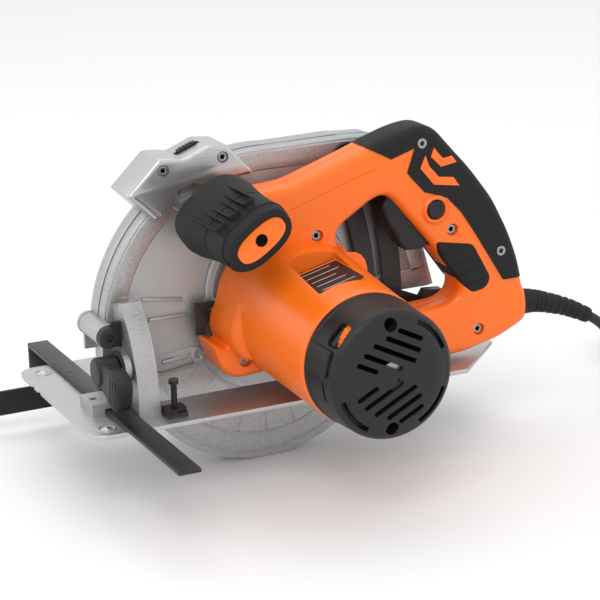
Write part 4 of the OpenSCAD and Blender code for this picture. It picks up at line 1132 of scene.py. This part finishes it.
@dataclass
class FrontGrip:
    """The front grip, its insert and its raised lines."""

    centre: Point = (-46.0, 130.0)
    tilt: float = 35.0

    def ring(self, y: float, a: float, b: float, rise: float = 0.0, power: float = 2.6) -> list[Point3]:
        """One oval ring of the grip.

        Args:
            y: Its station.
            a, b: Its half axes.
            rise: How far its centre is raised.
            power: 2 for an ellipse, more for a squarer oval.
        Returns:
            The ring.
        """
        t = math.radians(self.tilt)
        out = []
        for k in range(72):
            c, s = math.cos(2 * math.pi * k / 72), math.sin(2 * math.pi * k / 72)
            u = a * math.copysign(abs(c) ** (2 / power), c)
            v = b * math.copysign(abs(s) ** (2 / power), s)
            out.append((self.centre[0] + u * math.cos(t) - v * math.sin(t), y,
                        self.centre[1] + rise + u * math.sin(t) + v * math.cos(t)))
        return out

    def build(self) -> None:
        """Adds the group's pieces."""
        rows = [(-117, 20.5, 11.5), (-116.2, 22.6, 13.6), (-113, 23.8, 15.0), (-105, 24.8, 16.2), (-95, 24.8, 16.8),
                (-84.6, 25.2, 17.4), (-84.2, 24.6, 16.8), (-83.2, 24.6, 16.8), (-82.8, 25.3, 17.5),
                (-70, 26.6, 18.8), (-58, 28.2, 20.2), (-46, 28.6, 20.6), (-40, 27.6, 19.6), (-37.6, 25.0, 17.0)]
        shape = loft([self.ring(y, a, b) for y, a, b in rows])
        cut = loft([self.ring(-119, 18.6, 8.8), self.ring(-115.4, 18.6, 8.8)])
        cut.add(box(-25.7, 20, -60, 0, 90, 160, 0.4))
        cut.add(rod(4.2, -120, -100, *self.centre, 40))
        piece("front_grip_body", shape, Finish.RUBBER, "saw", ["front_grip"], cut=cut)
        insert = loft([self.ring(-116.9, 17.6, 7.8), self.ring(-117.3, 18.3, 8.5), self.ring(-114, 18.4, 8.6)])
        hole = rod(4.0, -120, -110, *self.centre, 40)
        hole.add(lathe([(0, -120), (5.0, -120), (4.0, -116.2), (0, -116.2)], *self.centre, 40))
        piece("front_grip_cap", insert, Finish.ORANGE, "saw", ["front_grip_insert"], cut=hole)
        a, b, grow, y0, y1 = 24.5, 15.9, 0.5, -108.8, -107.6
        lines = loft([self.ring(y0, a, b), self.ring(y0 + 0.25, a + grow, b + grow),
                      self.ring(y1 - 0.25, a + grow, b + grow), self.ring(y1, a, b)])
        turn = turned((self.centre[0], 0, self.centre[1]), -self.tilt)
        bend = Matrix.Rotation(math.radians(-3.0), 4, "X")
        seat = turn @ Matrix.Translation((0, -60, 18.6)) @ bend @ Matrix.Translation((0, 60, -18.0))
        for u in (-13, -1, 11):
            frame_u = round_corners([(u - 4, -104), (u + 4, -104), (u + 4, -60), (u - 4, -60)], 2, 3)
            inner_u = round_corners([(u - 3, -103), (u + 3, -103), (u + 3, -61), (u - 3, -61)], 1.6, 3)
            lift = slab(frame_u, 14.0, 17.6, 0.1, 0.3, holes=[inner_u], plane=Plane.XY)
            lines.add(lift.moved(seat))
        piece("front_grip_lines", lines, Finish.RUBBER, "saw")
        # near-black disc down the insert's hole, painted shade in the hole
        piece("front_grip_hole_shade", rod(3.9, -117.45, -117.2, *self.centre, 40), Finish.PAINTED_SHADE, "saw")


@dataclass
class LineGuide:
    """The silver line guide that straddles the guard."""

    outline: list[Point] = field(default_factory=lambda: round_corners([
        (-98, 143), (-75, 165), (-66, 164.5), (-58, 163), (-40, 170), (-26, 168.5), (-17, 158), (-7, 148),
        (-24, 145.5), (-41, 143), (-50, 146), (-63, 142), (-61, 135), (-79, 124)], 1.6, 3))

    def build(self) -> None:
        """Adds the group's pieces."""
        shape = slab(self.outline, -22, 11, 2.4, 2.4, steps=3)
        ring = arc(0, ARBOR_Z, 118.2, 150, 70, 60) + [(20, 60), (-110, 60)]
        cut = slab(ring, -12.4, 20, 0.2)
        screws = ((-72, 157), (-30, 161))
        for x, z in screws:
            cut.add(rod(4.0, -25, -19.6, x, z))
        cut.add(slab([(-93, 142), (-76, 127), (-74.6, 128.4), (-91.6, 143.4)], -23, -21.2, 0.1))
        slot_turn = turned((-49, -6, 166.5), -21)
        cut.add(box(-9.3, 9.3, -2.9, 2.9, -3.2, 8, 0.2).moved(slot_turn))
        piece("line_guide", shape, Finish.SATIN, "saw", ["laser_housing"], cut=cut)
        knob = box(-7, 7, -2.5, 2.5, -2.7, 1.7, 0.5)
        for k in range(4):
            knob.add(box(-4.5 + 2.6 * k, -3.3 + 2.6 * k, -2.3, 2.3, 1.5, 2.2, 0.2))
        piece("line_switch", knob.moved(slot_turn), Finish.NYLON, "laser_switch", ["laser_switch"])
        spots = [(x, z, -21.4) for x, z in screws]
        screw_set(("line_guide_screws", "line_guide_recess_shades"), spots, 3.4, "laser_screws")


def dress_cad() -> None:
    """Gives every CAD piece that is still shown its finish."""
    for finish, names in CAD_FINISH.items():
        for name in names.split():
            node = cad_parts[name]
            node.data.materials.clear()
            node.data.materials.append(material(finish))


def main() -> None:
    """Builds the whole saw, the largest groups first."""
    logging.basicConfig(level=logging.INFO)
    builders: list[Callable[[], None]] = [
        View().build, Cord().build, Sole().build, Guard().build, Motor().build, Handle().build,
        FrontGrip().build, LineGuide().build, dress_cad,
    ]
    for build in builders:
        build()


if __name__ == "__main__":
    main()
